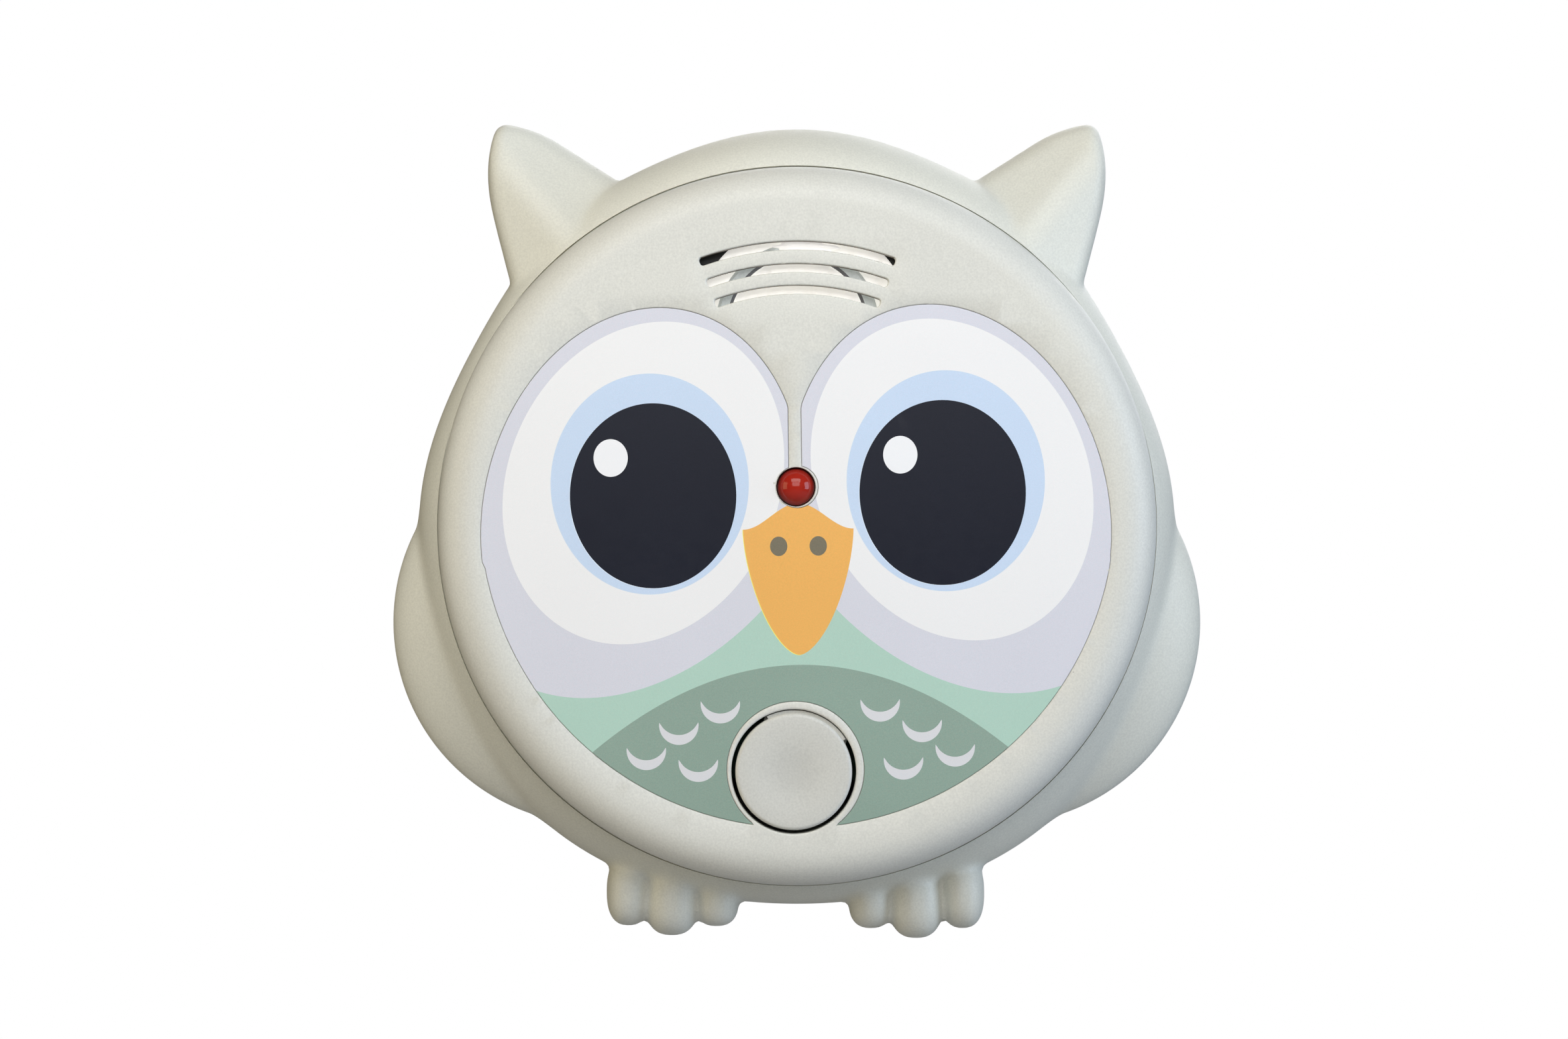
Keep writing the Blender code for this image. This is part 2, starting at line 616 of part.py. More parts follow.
def build_board():
    board = rod("circuit_board", (0, 0), BOARD_R, *BOARD_Y, material("board_green", (0.03, 0.18, 0.07)), 48)
    for side in (-1, 1):
        place = (side * BOARD_SCREW_X, 0)
        cut(board, rod(f"board_hole_{side}", place, 1.5, -27, -23, segments=12))
        screw = [(0, -28.2), (2.2, -27.9), (2.6, BOARD_FRONT), (1.1, BOARD_FRONT), (1.1, -17), (0, -16)]
        turned(f"board_screw_{'right' if side > 0 else 'left'}", screw, steel(), place, 10)
    return board


def build_microcontroller():
    """Flat chip body with a comb of legs along each side."""
    x, z, half_w, half_h = -21.0, -9.0, 5.0, 3.0
    chip = block("microcontroller", (x - half_w, -28.2, z - half_h), (x + half_w, -26.6, z + half_h),
                 black_plastic())
    for number in range(7):
        leg_x = x - half_w + 1.2 + number * 1.27
        leg = block(f"chip_leg_{number}", (leg_x - 0.25, BOARD_FRONT - 0.5, z - half_h - 1.1),
                    (leg_x + 0.25, BOARD_FRONT, z + half_h + 1.1))
        join(chip, leg)


def build_small_parts():
    """Crystal, capacitor, inductor and resistors around the board."""
    crystal = arc((-26.5, 4.0), 2.2, 90, 270, 7) + arc((-19.5, 4.0), 2.2, -90, 90, 7)
    prism("crystal", crystal, -29.6, BOARD_FRONT, steel())
    can = [(0, -12.6), (3.6, -12.6), (4.0, -13.0), (4.0, -22.2), (3.6, -22.7), (4.0, -23.2),
           (4.0, BOARD_BACK), (0, BOARD_BACK)]
    turned("capacitor", can, material("capacitor_sleeve", (0.05, 0.07, 0.25)), (0, -26.0), 14)
    drum = [(0, -16), (5, -16), (5, -17.3), (3.4, -17.3), (3.4, -22.6), (5, -22.6), (5, BOARD_BACK),
            (0, BOARD_BACK)]
    turned("inductor", drum, material("ferrite", (0.04, 0.04, 0.04)), (13.0, 26.5), 14)
    body = [(0, 16.5), (0.3, 16.5), (0.3, 19.2), (1.1, 19.4), (1.2, 20.4), (1.0, 21.2), (1.0, 24.0),
            (1.2, 24.8), (1.1, 25.8), (0.3, 26.0), (0.3, 28.7), (0, 28.7)]
    for number, z in enumerate((-6.0, -10.0)):
        turned(f"resistor_{number + 1}", body, material("resistor_tan", (0.55, 0.38, 0.22)),
               (BOARD_FRONT - 1.3, z), 8, axis="X")


def build_switch():
    """Tact switch under the button: square body and a sliding plunger."""
    x, z = BUTTON_AT
    body = block("switch_body", (x - 3, -29.8, z - 3), (x + 3, BOARD_FRONT, z + 3), black_plastic())
    cut(body, rod("plunger_bore", (x, z), 2.0, -31, -27.4, segments=16))
    plunger = [(0, -31.2), (1.7, -31.2), (1.7, -28.0), (0, -28.0)]
    turned("switch_plunger", plunger, black_plastic(), (x, z), 16, origin=(x, -28.0, z))


def build_gas_sensor():
    """Electrochemical cell behind the board: steel can and filter cap."""
    place = (-9.0, 27.0)
    can = [(0, BOARD_BACK), (8.5, BOARD_BACK), (8.5, -11.4), (8.0, -10.8), (0, -10.8)]
    turned("gas_cell", can, steel(), place, 24)
    cap = [(1.2, -10.5), (6.5, -10.5), (6.5, -9.0), (6.0, -8.6), (1.2, -8.6)]
    turned("gas_cell_filter", cap, material("white_plastic", (0.8, 0.8, 0.78)), place, 16)


def build_sounder():
    """Chamber with the piezo disc on its ledge, the pale ring in front and two wires behind."""
    back, ledge = -27.4, -32.8
    profile = [(0, back), (17.6, back), (17.6, -34.0), (16.7, -34.0), (16.7, ledge), (15.4, ledge),
               (15.4, back - 1.2), (0, back - 1.2)]
    chamber = turned("sounder_chamber", profile, material("chamber_plastic", (0.08, 0.08, 0.08)),
                     SOUNDER_AT, 32)
    disc = [(0, ledge - 0.55), (16.3, ledge - 0.55), (16.3, ledge - 0.3), (0, ledge - 0.3)]
    turned("piezo_disc", disc, material("piezo_metal", (0.75, 0.73, 0.7), 0.25, 1.0), SOUNDER_AT, 32)
    wafer = [(0, ledge), (10.8, ledge), (10.8, ledge + 0.3), (0, ledge + 0.3)]
    turned("piezo_wafer", wafer, material("white_ceramic", (0.8, 0.78, 0.7)), SOUNDER_AT, 24)
    pale = [(9.6, -34.9), (11.3, -34.9), (11.3, ledge - 0.85), (9.6, ledge - 0.85)]
    ring_at = (SOUNDER_AT[0] - 0.9, SOUNDER_AT[1] + 0.6)
    turned("sounder_ring", pale, material("pale_plastic", (0.62, 0.66, 0.68)), ring_at, 28)
    for side, colour, rgb in ((-1, "red", (0.5, 0.03, 0.02)), (1, "black", (0.03, 0.03, 0.03))):
        x, z = SOUNDER_AT[0] + side * 4, 20.0
        cut(chamber, rod(f"wire_hole_{colour}", (x, z), 1.0, -29, -27, segments=10))
        lead = [(x, -32.1, z), (x, -29.5, z), (x, BOARD_FRONT, z)]
        wire(f"sounder_wire_{colour}", lead, 0.5, material(f"wire_{colour}", rgb))


# ---------------------------------------------------------------- batteries and door

def build_cells():
    """Two AA cells side by side, laid opposite ways."""
    for number, direction in ((1, 1), (2, -1)):
        start = -direction * 23.9
        shape = [(0, 0), (CELL_R - 0.3, 0), (CELL_R, 0.5), (CELL_R, 48.6), (CELL_R - 0.5, 49.1), (2.75, 49.1),
                 (2.75, CELL_LENGTH), (0, CELL_LENGTH)]
        profile = [(r, start + direction * along) for r, along in shape]
        turned(f"battery_{number}", profile, material("cell_wrap", (0.04, 0.05, 0.06), 0.3),
               (CELL_Y, direction * CELL_Z), 20, axis="X")


def plate(name, side, outline):
    """A contact plate standing across the bay; the outline is (y, z)."""
    x_near, x_far = (side * x for x in CONTACT_X)
    count = len(outline)
    verts = [(x, y, z) for x in (x_near, x_far) for y, z in outline]
    faces = [list(range(count)), list(range(2 * count - 1, count - 1, -1))]
    faces += [[i, (i + 1) % count, count + (i + 1) % count, count + i] for i in range(count)]
    return add_mesh(name, verts, faces, steel())


def build_contacts():
    """One bridge plate on the left, two tailed plates on the right, and a coil spring for each cell."""
    plate("bridge_contact", -1, [(-22, -14), (-9, -14), (-9, 14), (-22, 14)])
    for name, side, z in contact_tails():
        outline = [(-22.2, z - 5.5), (-9, z - 5.5), (-9, z + 5.5), (-22.2, z + 5.5), (-22.2, z + 1.4),
                   (BOARD_BACK, z + 1.4), (BOARD_BACK, z - 1.4), (-22.2, z - 1.4)]
        plate(f"{name}_contact", side, outline)
    for name, side, z in (("bridge_spring", -1, CELL_Z), ("negative_spring", 1, -CELL_Z)):
        turns, radius, thick = 3, 3.4, 0.3
        near, far = 24.2 + thick, CONTACT_X[0] - GAP - thick
        points = []
        for step in range(turns * 9 + 1):
            share = step / (turns * 9)
            angle = 2 * math.pi * turns * share
            coil = radius + 1.6 * share
            points.append((side * (near + (far - near) * share), CELL_Y + coil * math.cos(angle),
                           z + coil * math.sin(angle)))
        wire(name, points, thick, steel(), resolution=1)


def build_door():
    """Battery door with two hinge pins at its upper edge and a latch tongue at its lower edge."""
    hinge_y, hinge_z = DOOR_HINGE
    hinge = (0, hinge_y, hinge_z)
    door = block("battery_door", (-DOOR_X, DOOR_Y[0], DOOR_BOTTOM_Z), (DOOR_X, DOOR_Y[1], hinge_z + PIN_R),
                 housing_plastic(), origin=hinge)
    pin_end = BAY_X + PIN_REACH
    pin = [(0, -pin_end), (PIN_R, -pin_end), (PIN_R, pin_end), (0, pin_end)]
    join(door, turned("door_pins", pin, centre=(hinge_y, hinge_z), segments=12, axis="X"),
         block("door_tongue", (-5.2, -7.0, -18.7), (5.2, -5.95, -15.2)))
    for number in range(3):
        z = -11.5 + number * 2.0
        cut(door, block(f"grip_groove_{number}", (-6, -6.3, z), (6, -5, z + 1.0)))
    return door


def build_cover_screws():
    names = ("lower_left", "upper_left", "lower_right", "upper_right")
    profile = [(0, -6.5), (2.4, -6.6), (2.8, -7.0), (2.8, -9.1), (1.1, -9.1), (1.1, -27.5), (0, -28.5)]
    for name, place in zip(names, screw_places()):
        screw = turned(f"cover_screw_{name}", profile, steel(), place, 10)
        for number, half in enumerate(((1.6, 0.3), (0.3, 1.6))):
            cut(screw, block(f"{name}_cross_{number}", (place[0] - half[0], -7.8, place[1] - half[1]),
                             (place[0] + half[0], -6, place[1] + half[1])))


def main():
    clear_scene()
    build_wall_ring()
    build_housing()
    build_cover()
    build_label()
    build_button()
    build_led()
    build_board()
    build_microcontroller()
    build_small_parts()
    build_switch()
    build_gas_sensor()
    build_sounder()
    build_cells()
    build_contacts()
    build_door()
    build_cover_screws()


main()
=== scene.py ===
"""Looks of the owl-shaped carbon monoxide alarm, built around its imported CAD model.

The frame is the CAD's: metres, +Z up, the face looks toward -Y, the wall is at y = 0. Sizes below are
millimetres; MM turns them into metres where a mesh is made. "Depth" is measured from the domed face of the
cover toward the wall.
"""
import json
import math
from contextlib import contextmanager

import bmesh
import bpy
import numpy as np
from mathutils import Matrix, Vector
from mathutils.geometry import delaunay_2d_cdt


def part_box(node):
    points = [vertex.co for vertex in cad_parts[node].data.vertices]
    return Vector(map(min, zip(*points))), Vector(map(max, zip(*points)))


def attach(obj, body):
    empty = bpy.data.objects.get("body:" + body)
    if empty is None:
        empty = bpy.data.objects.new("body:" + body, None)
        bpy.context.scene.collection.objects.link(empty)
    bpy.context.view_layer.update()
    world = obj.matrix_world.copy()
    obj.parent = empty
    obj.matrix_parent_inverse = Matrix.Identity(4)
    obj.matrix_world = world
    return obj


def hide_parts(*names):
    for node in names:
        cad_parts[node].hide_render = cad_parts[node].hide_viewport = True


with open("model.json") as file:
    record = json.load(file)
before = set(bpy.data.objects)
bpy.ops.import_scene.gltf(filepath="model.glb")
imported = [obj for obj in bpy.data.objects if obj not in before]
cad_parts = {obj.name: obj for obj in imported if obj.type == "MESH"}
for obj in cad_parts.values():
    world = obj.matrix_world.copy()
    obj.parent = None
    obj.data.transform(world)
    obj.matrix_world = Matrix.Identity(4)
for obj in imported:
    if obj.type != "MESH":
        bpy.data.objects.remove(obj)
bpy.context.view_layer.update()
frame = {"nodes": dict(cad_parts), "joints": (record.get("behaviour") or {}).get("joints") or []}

MM = 0.001


def box(node):
    """Lowest and highest corner of a CAD node, in millimetres."""
    return [[value / MM for value in corner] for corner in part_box(node)]


def middle_of(node):
    """x, z of the middle of a CAD node."""
    low, high = box(node)
    return ((low[0] + high[0]) / 2, (low[2] + high[2]) / 2)


# Places read from the frame, in millimetres.
COVER_LOW, COVER_HIGH = box("front_cover")
COVER_R = (COVER_HIGH[0] - COVER_LOW[0]) / 2
FACE_Y = COVER_LOW[1]
SEAM_Y = -25.0
LED_AT = middle_of("led_spacer")
LED_TIP_Y = box("status_led")[0][1]
BUTTON_AT = middle_of("switch_plunger")
SOUNDER_AT = middle_of("piezo_disc")

# The cover's own shape.
DOME_DROP = 1.0
DOME_R = 45.0
RIM_R = 5.2
COVER_WALL = 2.2
COVER_SIDE_WALL = 2.6
AROUND = 288                   # points round the cover
BUTTON_HOLE_R = 8.6
LED_HOLE_R = 2.7
LEG_PITCH = 2.54               # between the LED's two legs
SLOT_CENTRE = (0.0, -0.5)
SLOT_RADII = (39.2, 36.1, 33.1)
SLOT_HALF_SPANS = (19.2, 19.2, 19.0)
SLOT_HEIGHT = 1.2
SLOT_ROUNDING = 0.22           # of the hole edges
BUTTON_HOLE_ROUNDING = 0.3
LED_HOLE_ROUNDING = 0.12

# Outline of the label, drawn level, then turned and moved as a whole. Circles are x, z, radius.
LABEL_TURN = math.radians(0.75)
LABEL_SHIFT = -0.2
EYE_LOBE = (21.25, 2.3, 21.75, 28.3, math.radians(13.6))
CHIN = (0.2, 2.2, 43.7)
CHIN_TOP_Z = -4.5
CHANNEL_HALF = 0.93
LED_RING = (0.25, 5.4, 2.93)
BUTTON_RING = (-0.5, -33.56, 9.5)
MOAT = 0.06                    # gap between the label and its bed
BED_DEPTH = 0.42
BED_EDGE = ((0.16, 0.0), (0.06, 0.05), (0.0, 0.16), (-0.05, BED_DEPTH))   # beyond the moat, depth
FILM_DEPTHS = (0.03, 0.08, 0.3)   # of the label's front, of its front at the rim, and of its back

# The printing sits a little to the right of the cut outline, and a little less turned.
PRINT_TURN = math.radians(0.65)
PRINT_SHIFT = 0.12


# ---------------------------------------------------------------- mesh helpers

def add_object(name, data):
    obj = bpy.data.objects.new(name, data)
    bpy.context.collection.objects.link(obj)
    return obj


@contextmanager
def editing(mesh):
    """Open a mesh for bmesh work and write it back afterwards."""
    bm = bmesh.new()
    bm.from_mesh(mesh)
    yield bm
    bm.to_mesh(mesh)
    bm.free()


def add_mesh(name, verts, faces, materials, places=None, smooth_angle=35, origin=(0, 0, 0)):
    """Make an object from points in millimetres; places gives each face's material index."""
    mesh = bpy.data.meshes.new(name)
    mesh.from_pydata(((np.asarray(verts, float) - origin) * MM).tolist(), [], faces)
    for material in materials:
        mesh.materials.append(material)
    if places is not None:
        mesh.polygons.foreach_set("material_index", places)
    with editing(mesh) as bm:
        bmesh.ops.recalc_face_normals(bm, faces=bm.faces)
    mesh.shade_smooth()
    if smooth_angle:
        mesh.set_sharp_from_angle(angle=math.radians(smooth_angle))
    obj = add_object(name, mesh)
    obj.location = [value * MM for value in origin]
    return obj


def stand_in(obj, body, slot, *nodes):
    """The piece rides on a body and stands for CAD nodes, which are hidden; slot is not used."""
    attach(obj, body)
    if nodes:
        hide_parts(*nodes)
    return obj


def arc(centre, radius, start, end, count):
    """Points (x, z) on an arc; the angles are degrees from +X toward +Z."""
    angles = np.radians(np.linspace(start, end, count))
    return [(centre[0] + radius * math.cos(a), centre[1] + radius * math.sin(a)) for a in angles]


def circle(centre, radius, count):
    return arc(centre, radius, 0, 360, count + 1)[:-1]


def ellipse(centre, half, lean=0.0, count=160):
    """Closed ellipse; a positive lean (radians) tips its top toward -X."""
    points = [(half[0] * math.cos(a), half[1] * math.sin(a))
              for a in np.linspace(0, 2 * math.pi, count, endpoint=False)]
    return [(centre[0] + x, centre[1] + z) for x, z in turn_points(points, lean)]


def turn_points(points, angle):
    """Turn points (x, z) about the origin, from +X toward +Z."""
    c, s = math.cos(angle), math.sin(angle)
    return [(x * c - z * s, x * s + z * c) for x, z in points]


def turned(name, profile, materials, centre=(0, 0), segments=96, axis="Y", places=None, origin=(0, 0, 0)):
    """Turn a profile of (radius, place along the axis); places gives a material index per profile step."""
    verts, rings = [], []
    for radius, along in profile:
        count = 1 if radius == 0 else segments
        rings.append(range(len(verts), len(verts) + count))
        for i in range(count):
            turn = 2 * math.pi * i / segments
            side, up = radius * math.cos(turn), radius * math.sin(turn)
            verts.append((centre[0] + side, along, centre[1] + up) if axis == "Y"
                         else (along, centre[0] + side, centre[1] + up))
    closed = profile[0][0] > 0
    pairs = list(zip(rings, rings[1:] + rings[:1] if closed else rings[1:]))
    faces, spots = [], []
    for step, (first, second) in enumerate(pairs):
        for i in range(segments):
            j = (i + 1) % segments
            corners = [first[i % len(first)], first[j % len(first)],
                       second[j % len(second)], second[i % len(second)]]
            faces.append(list(dict.fromkeys(corners)))
            spots.append(places[step] if places else 0)
    return add_mesh(name, verts, faces, materials, spots, origin=origin)


def prism(name, outline, y_front, y_back, material):
    """Extrude an outline of (x, z) points along Y."""
    count = len(outline)
    verts = [(x, y, z) for y in (y_front, y_back) for x, z in outline]
    faces = [list(range(count)), list(range(2 * count - 1, count - 1, -1))]
    faces += [[i, (i + 1) % count, count + (i + 1) % count, count + i] for i in range(count)]
    return add_mesh(name, verts, faces, [material])


def inside(points, outline):
    """True for each point (x, z) that lies inside a closed outline."""
    x, z = np.asarray(points, float).T[:, :, None]
    x0, z0 = np.asarray(outline, float).T[:, None, :]
    x1, z1 = np.roll(x0, -1), np.roll(z0, -1)
    spans = (z0 > z) != (z1 > z)
    rise = np.where(z1 == z0, 1e-12, z1 - z0)
    return (spans & (x < x0 + (z - z0) * (x1 - x0) / rise)).sum(axis=1) % 2 == 1


def spread(outline, distance):
    """Move every point of a closed outline outward by a distance, along its own normal."""
    here = np.asarray(outline, float)
    along = np.roll(here, -1, axis=0) - np.roll(here, 1, axis=0)
    normal = np.stack([along[:, 1], -along[:, 0]], axis=1)
    area = np.sum(here[:, 0] * np.roll(here[:, 1], -1) - np.roll(here[:, 0], -1) * here[:, 1])
    normal *= math.copysign(1, area) / np.linalg.norm(normal, axis=1, keepdims=True)
    return [tuple(point) for point in here + normal * distance]


def mesh_plane(loops, grid_step, reach):
    """Triangulate the plane with these closed loops as edges; returns points and triangles."""
    points, edges = [], []
    for loop in loops:
        start = len(points)
        points += loop
        edges += [(start + i, start + (i + 1) % len(loop)) for i in range(len(loop))]
    steps = np.arange(-reach, reach + grid_step, grid_step)
    points += [(x, z) for x in steps for z in steps if math.hypot(x, z) < reach]
    flat, _, faces, _, _, _ = delaunay_2d_cdt(points, edges, [], 0, 1e-5)
    return np.array([tuple(p) for p in flat]), [list(face) for face in faces]


def centres(points, faces):
    """Middle of each face."""
    return np.array([points[face].mean(axis=0) for face in faces])


def boundary_edges(faces):
    """Directed edges that only one face uses."""
    directed = {(a, b) for face in faces for a, b in zip(face, face[1:] + face[:1])}
    return [(a, b) for a, b in directed if (b, a) not in directed]


def sheet(points, faces, front, back):
    """Vertices of a sheet between two sets of y, its front and back faces, and the walls along its edges."""
    total = len(points)
    verts = [(x, y, z) for side in (front, back) for (x, z), y in zip(points, side)]
    both = faces + [[i + total for i in reversed(face)] for face in faces]
    walls = [[b, a, a + total, b + total] for a, b in boundary_edges(faces)]
    return verts, both, walls


def face_depth(x, z):
    """y of the cover's front face."""
    return FACE_Y + DOME_DROP * (x * x + z * z) / DOME_R ** 2


# ---------------------------------------------------------------- material helpers

def srgb(red, green, blue):
    """Linear colour from 8-bit sRGB values."""
    return [((v / 255 + 0.055) / 1.055) ** 2.4 if v > 10 else v / 255 / 12.92 for v in (red, green, blue)]


def add_node(tree, kind, sockets=(), **settings):
    """New node; a socket's value is a constant, or another node's output to link."""
    node = tree.nodes.new("ShaderNode" + kind)
    for key, value in settings.items():
        setattr(node, key, value)
    for key, value in dict(sockets).items():
        if isinstance(value, bpy.types.NodeSocket):
            tree.links.new(value, node.inputs[key])
        else:
            node.inputs[key].default_value = value
    return node


class Nodes:
    """A short way to write a material's node tree; one line per node."""

    def __init__(self, name):
        self.material = bpy.data.materials.new(name)
        self.material.use_nodes = True
        self.tree = self.material.node_tree
        self.shader = self.tree.nodes["Principled BSDF"]
        self.place = self.tree.nodes.new("ShaderNodeTexCoord").outputs["Object"]

    def add(self, kind, sockets=(), **settings):
        return add_node(self.tree, kind, sockets, **settings)

    def noise(self, scale, detail=2.0, roughness=0.5, place=None):
        """Noise whose features are about 1 / scale metres across."""
        return self.add("TexNoise", {"Vector": place or self.place, "Scale": scale, "Detail": detail,
                                     "Roughness": roughness}).outputs["Fac"]

    def remap(self, value, low, high, to_low, to_high):
        return self.add("MapRange", {"Value": value, "From Min": low, "From Max": high,
                                     "To Min": to_low, "To Max": to_high}).outputs["Result"]

    def mix(self, share, first, second, blend="MIX"):
        """Mix two colours; each is a colour or another node's output."""
        first, second = (value if isinstance(value, bpy.types.NodeSocket) else (*value, 1)
                         for value in (first, second))
        return self.add("Mix", {0: share, 6: first, 7: second}, data_type="RGBA", blend_type=blend).outputs[2]

    def grey(self, value):
        """The same value in all three channels."""
        return self.add("CombineColor", {0: value, 1: value, 2: value}).outputs[0]

    def math(self, operation, first, second=0.0):
        return self.add("Math", {0: first, 1: second}, operation=operation).outputs[0]

    def bump(self, height, distance):
        return self.add("Bump", {"Height": height, "Distance": distance, "Strength": 1.0}).outputs["Normal"]

    def set(self, **sockets):
        """Set or link the shader's sockets; underscores stand for spaces."""
        for key, value in sockets.items():
            socket = self.shader.inputs[key.replace("_", " ")]
            if isinstance(value, bpy.types.NodeSocket):
                self.tree.links.new(value, socket)
            else:
                socket.default_value = value
        return self.material


def moulded(name, rgb, roughness=0.48, grain=0.012, specks=True):
    """Moulded plastic: fine matt grain, faint cloudiness, a few dust specks."""
    n = Nodes(name)
    cloud = n.remap(n.noise(45, 3), 0.3, 0.7, 0.0, 1.0)
    dark, light = ([v * (1 + change) for v in rgb] for change in (-0.02, 0.02))
    colour = n.mix(cloud, dark, light)
    fine = n.remap(n.noise(3600, 2), 0.3, 0.7, 0.94, 1.06)
    colour = n.mix(1.0, colour, n.grey(fine), "MULTIPLY")
    if specks:
        cell = n.add("TexVoronoi", {"Vector": n.place, "Scale": 210.0})
        rare = n.math("GREATER_THAN", n.add("SeparateColor", {0: cell.outputs["Color"]}).outputs[0], 0.965)
        near = n.math("LESS_THAN", cell.outputs["Distance"], 0.035)
        colour = n.mix(n.math("MULTIPLY", n.math("MULTIPLY", rare, near), 0.45), colour, (0.12, 0.11, 0.09))
    rough = n.remap(n.noise(900, 3), 0.3, 0.7, roughness - 0.05, roughness + 0.05)
    bump = n.bump(n.noise(2600, 3, 0.6), grain * MM)
    return n.set(Base_Color=colour, Roughness=rough, Normal=bump, Specular_IOR_Level=0.45)


def ink(name, rgb, speckle, roughness=0.42):
    """Printed film: flat ink with fine halftone speckle under a satin coat."""
    n = Nodes(name)
    dots = n.remap(n.noise(6500, 2, 0.7), 0.3, 0.7, 1 - speckle, 1 + speckle)
    tint = n.remap(n.noise(4200, 1), 0.3, 0.7, 1 - speckle * 0.6, 1 + speckle * 0.6)
    cloud = n.remap(n.noise(60, 2), 0.3, 0.7, 1 - speckle * 0.4, 1 + speckle * 0.4)
    both = n.math("MULTIPLY", dots, cloud)
    grey = n.add("CombineColor", {0: n.math("MULTIPLY", both, tint), 1: both, 2: both}).outputs[0]
    colour = n.mix(1.0, tuple(rgb), grey, "MULTIPLY")
    rough = n.remap(n.noise(700, 2), 0.3, 0.7, roughness - 0.04, roughness + 0.04)
    return n.set(Base_Color=colour, Roughness=rough, Normal=n.bump(n.noise(1500, 2), 0.004 * MM),
                 Specular_IOR_Level=0.2)


def metal(name, rgb, roughness=0.3):
    """Plated metal with fine criss-cross scratches and uneven dulling."""
    n = Nodes(name)
    strokes = []
    for turn in (0.35, 1.1, -0.6):
        lined = n.add("Mapping", {"Vector": n.place, "Rotation": (0, turn, 0), "Scale": (1.0, 1.0, 0.03)})
        strokes.append(n.remap(n.noise(900, 3.0, 0.65, lined.outputs[0]), 0.56, 0.66, 0.0, 1.0))
    worn = n.math("MAXIMUM", n.math("MAXIMUM", strokes[0], strokes[1]), strokes[2])
    tarnish = n.remap(n.noise(260, 4, 0.6), 0.4, 0.75, 0.0, 1.0)
    colour = n.mix(n.math("MULTIPLY", tarnish, 0.35), tuple(rgb), tuple(v * 0.72 for v in rgb))
    rough = n.remap(worn, 0.0, 1.0, roughness, roughness + 0.16)
    return n.set(Base_Color=colour, Roughness=rough, Metallic=1.0, Normal=n.bump(worn, 0.004 * MM))


INKS = {                       # look: 8-bit colour, unevenness of the print
    "lilac": ((217, 217, 226), 0.03),
    "white": ((241, 240, 240), 0.015),
    "iris": ((202, 219, 241), 0.03),
    "glint": ((243, 243, 245), 0.01),
    "beak": ((241, 181, 98), 0.035),
    "nostril": ((124, 117, 99), 0.06),
    "mint": ((180, 211, 196), 0.035),
    "sage": ((146, 168, 155), 0.07),
    "crescent": ((221, 221, 224), 0.02),
    "edge_yellow": ((246, 240, 120), 0.03),
    "edge_pale": ((226, 238, 252), 0.03),
}
PARTS = {                      # look: material, linear colour, roughness
    "black": ("black_plastic", (0.018, 0.018, 0.018), 0.5),
    "white_plastic": ("white_plastic", (0.78, 0.78, 0.76), 0.48),
    "ceramic": ("ceramic_wafer", (0.75, 0.73, 0.66), 0.6),
    "ferrite": ("ferrite_drum", (0.035, 0.034, 0.033), 0.6),
    "tan": ("resistor_lacquer", (0.52, 0.36, 0.2), 0.3),
    "sleeve": ("capacitor_sleeve", (0.04, 0.06, 0.22), 0.25),
    "wire_red": ("red_insulation", (0.45, 0.03, 0.02), 0.4),
    "wire_black": ("black_insulation", (0.02, 0.02, 0.02), 0.4),
    "wrap": ("cell_wrap", (0.03, 0.035, 0.045), 0.22),
    "board": ("solder_mask", (0.02, 0.14, 0.05), 0.3),
}


def make_materials():
    """One material for each look, by name."""
    looks = {
        "cover": moulded("cover_plastic", srgb(217, 216, 208)),
        # dark brown painted shade for the sound slots' upper walls, which face away from the light
        "painted_slot_shade": moulded("painted_shade_slot_wall", srgb(104, 92, 78), specks=False),
        "housing": moulded("housing_plastic", srgb(219, 218, 207), roughness=0.5, grain=0.016),
        # the button's dish gets painted shade toward its middle
        "button": paint_dish_shade(moulded("button_plastic", srgb(205, 204, 197), roughness=0.5)),
        "ring": moulded("ring_plastic", srgb(205, 204, 196), roughness=0.52, grain=0.02),
        "door": moulded("door_plastic", srgb(212, 211, 201), roughness=0.52, grain=0.02),
        "pupil": ink("ink_pupil", srgb(24, 27, 40), 0.12, roughness=0.36),
        "film_edge": ink("film_edge", srgb(196, 196, 196), 0.03),
        "steel": metal("plated_steel", (0.62, 0.62, 0.61)),
        # the piezo disc and the pale ring glow in their own colours: painted light for the daylight that the
        # deep slots shut out
        "piezo": painted_slot_glow(metal("piezo_disc_metal", (0.95, 0.93, 0.89), roughness=0.5), 0.5),
        "pale": painted_slot_glow(moulded("pale_plastic", srgb(206, 212, 210), roughness=0.35, specks=False), 0.25),
        # mid grey painted shade for the pale ring's inner wall and its rounded edge
        "painted_ring_shade": moulded("painted_shade_ring_edge", srgb(120, 121, 128), specks=False),
        "led": led_glass(),
        "glue": clear_glue(),
    }
    looks.update({name: ink("ink_" + name, srgb(*rgb), speckle) for name, (rgb, speckle) in INKS.items()})
    looks.update({name: moulded(material, rgb, roughness, specks=False)
                  for name, (material, rgb, roughness) in PARTS.items()})
    return looks


def led_glass():
    """Red tinted dome: glossy, with painted shade deepening its colour toward the edge, where it turns away
    from the view.
    """
    n = Nodes("led_dome")
    edge = n.add("LayerWeight", {"Blend": 0.35}).outputs["Facing"]
    # painted shade: the colour darkens as the surface turns away from the view
    painted_edge_shade = n.math("ADD", edge, n.remap(n.noise(700, 2), 0.3, 0.7, -0.05, 0.05))
    colour = n.mix(painted_edge_shade, (0.40, 0.022, 0.012), (0.12, 0.006, 0.004))
    return n.set(Base_Color=colour, Roughness=0.08, Specular_IOR_Level=0.32, IOR=1.5,
                 Normal=n.bump(n.noise(300, 1), 0.006 * MM))


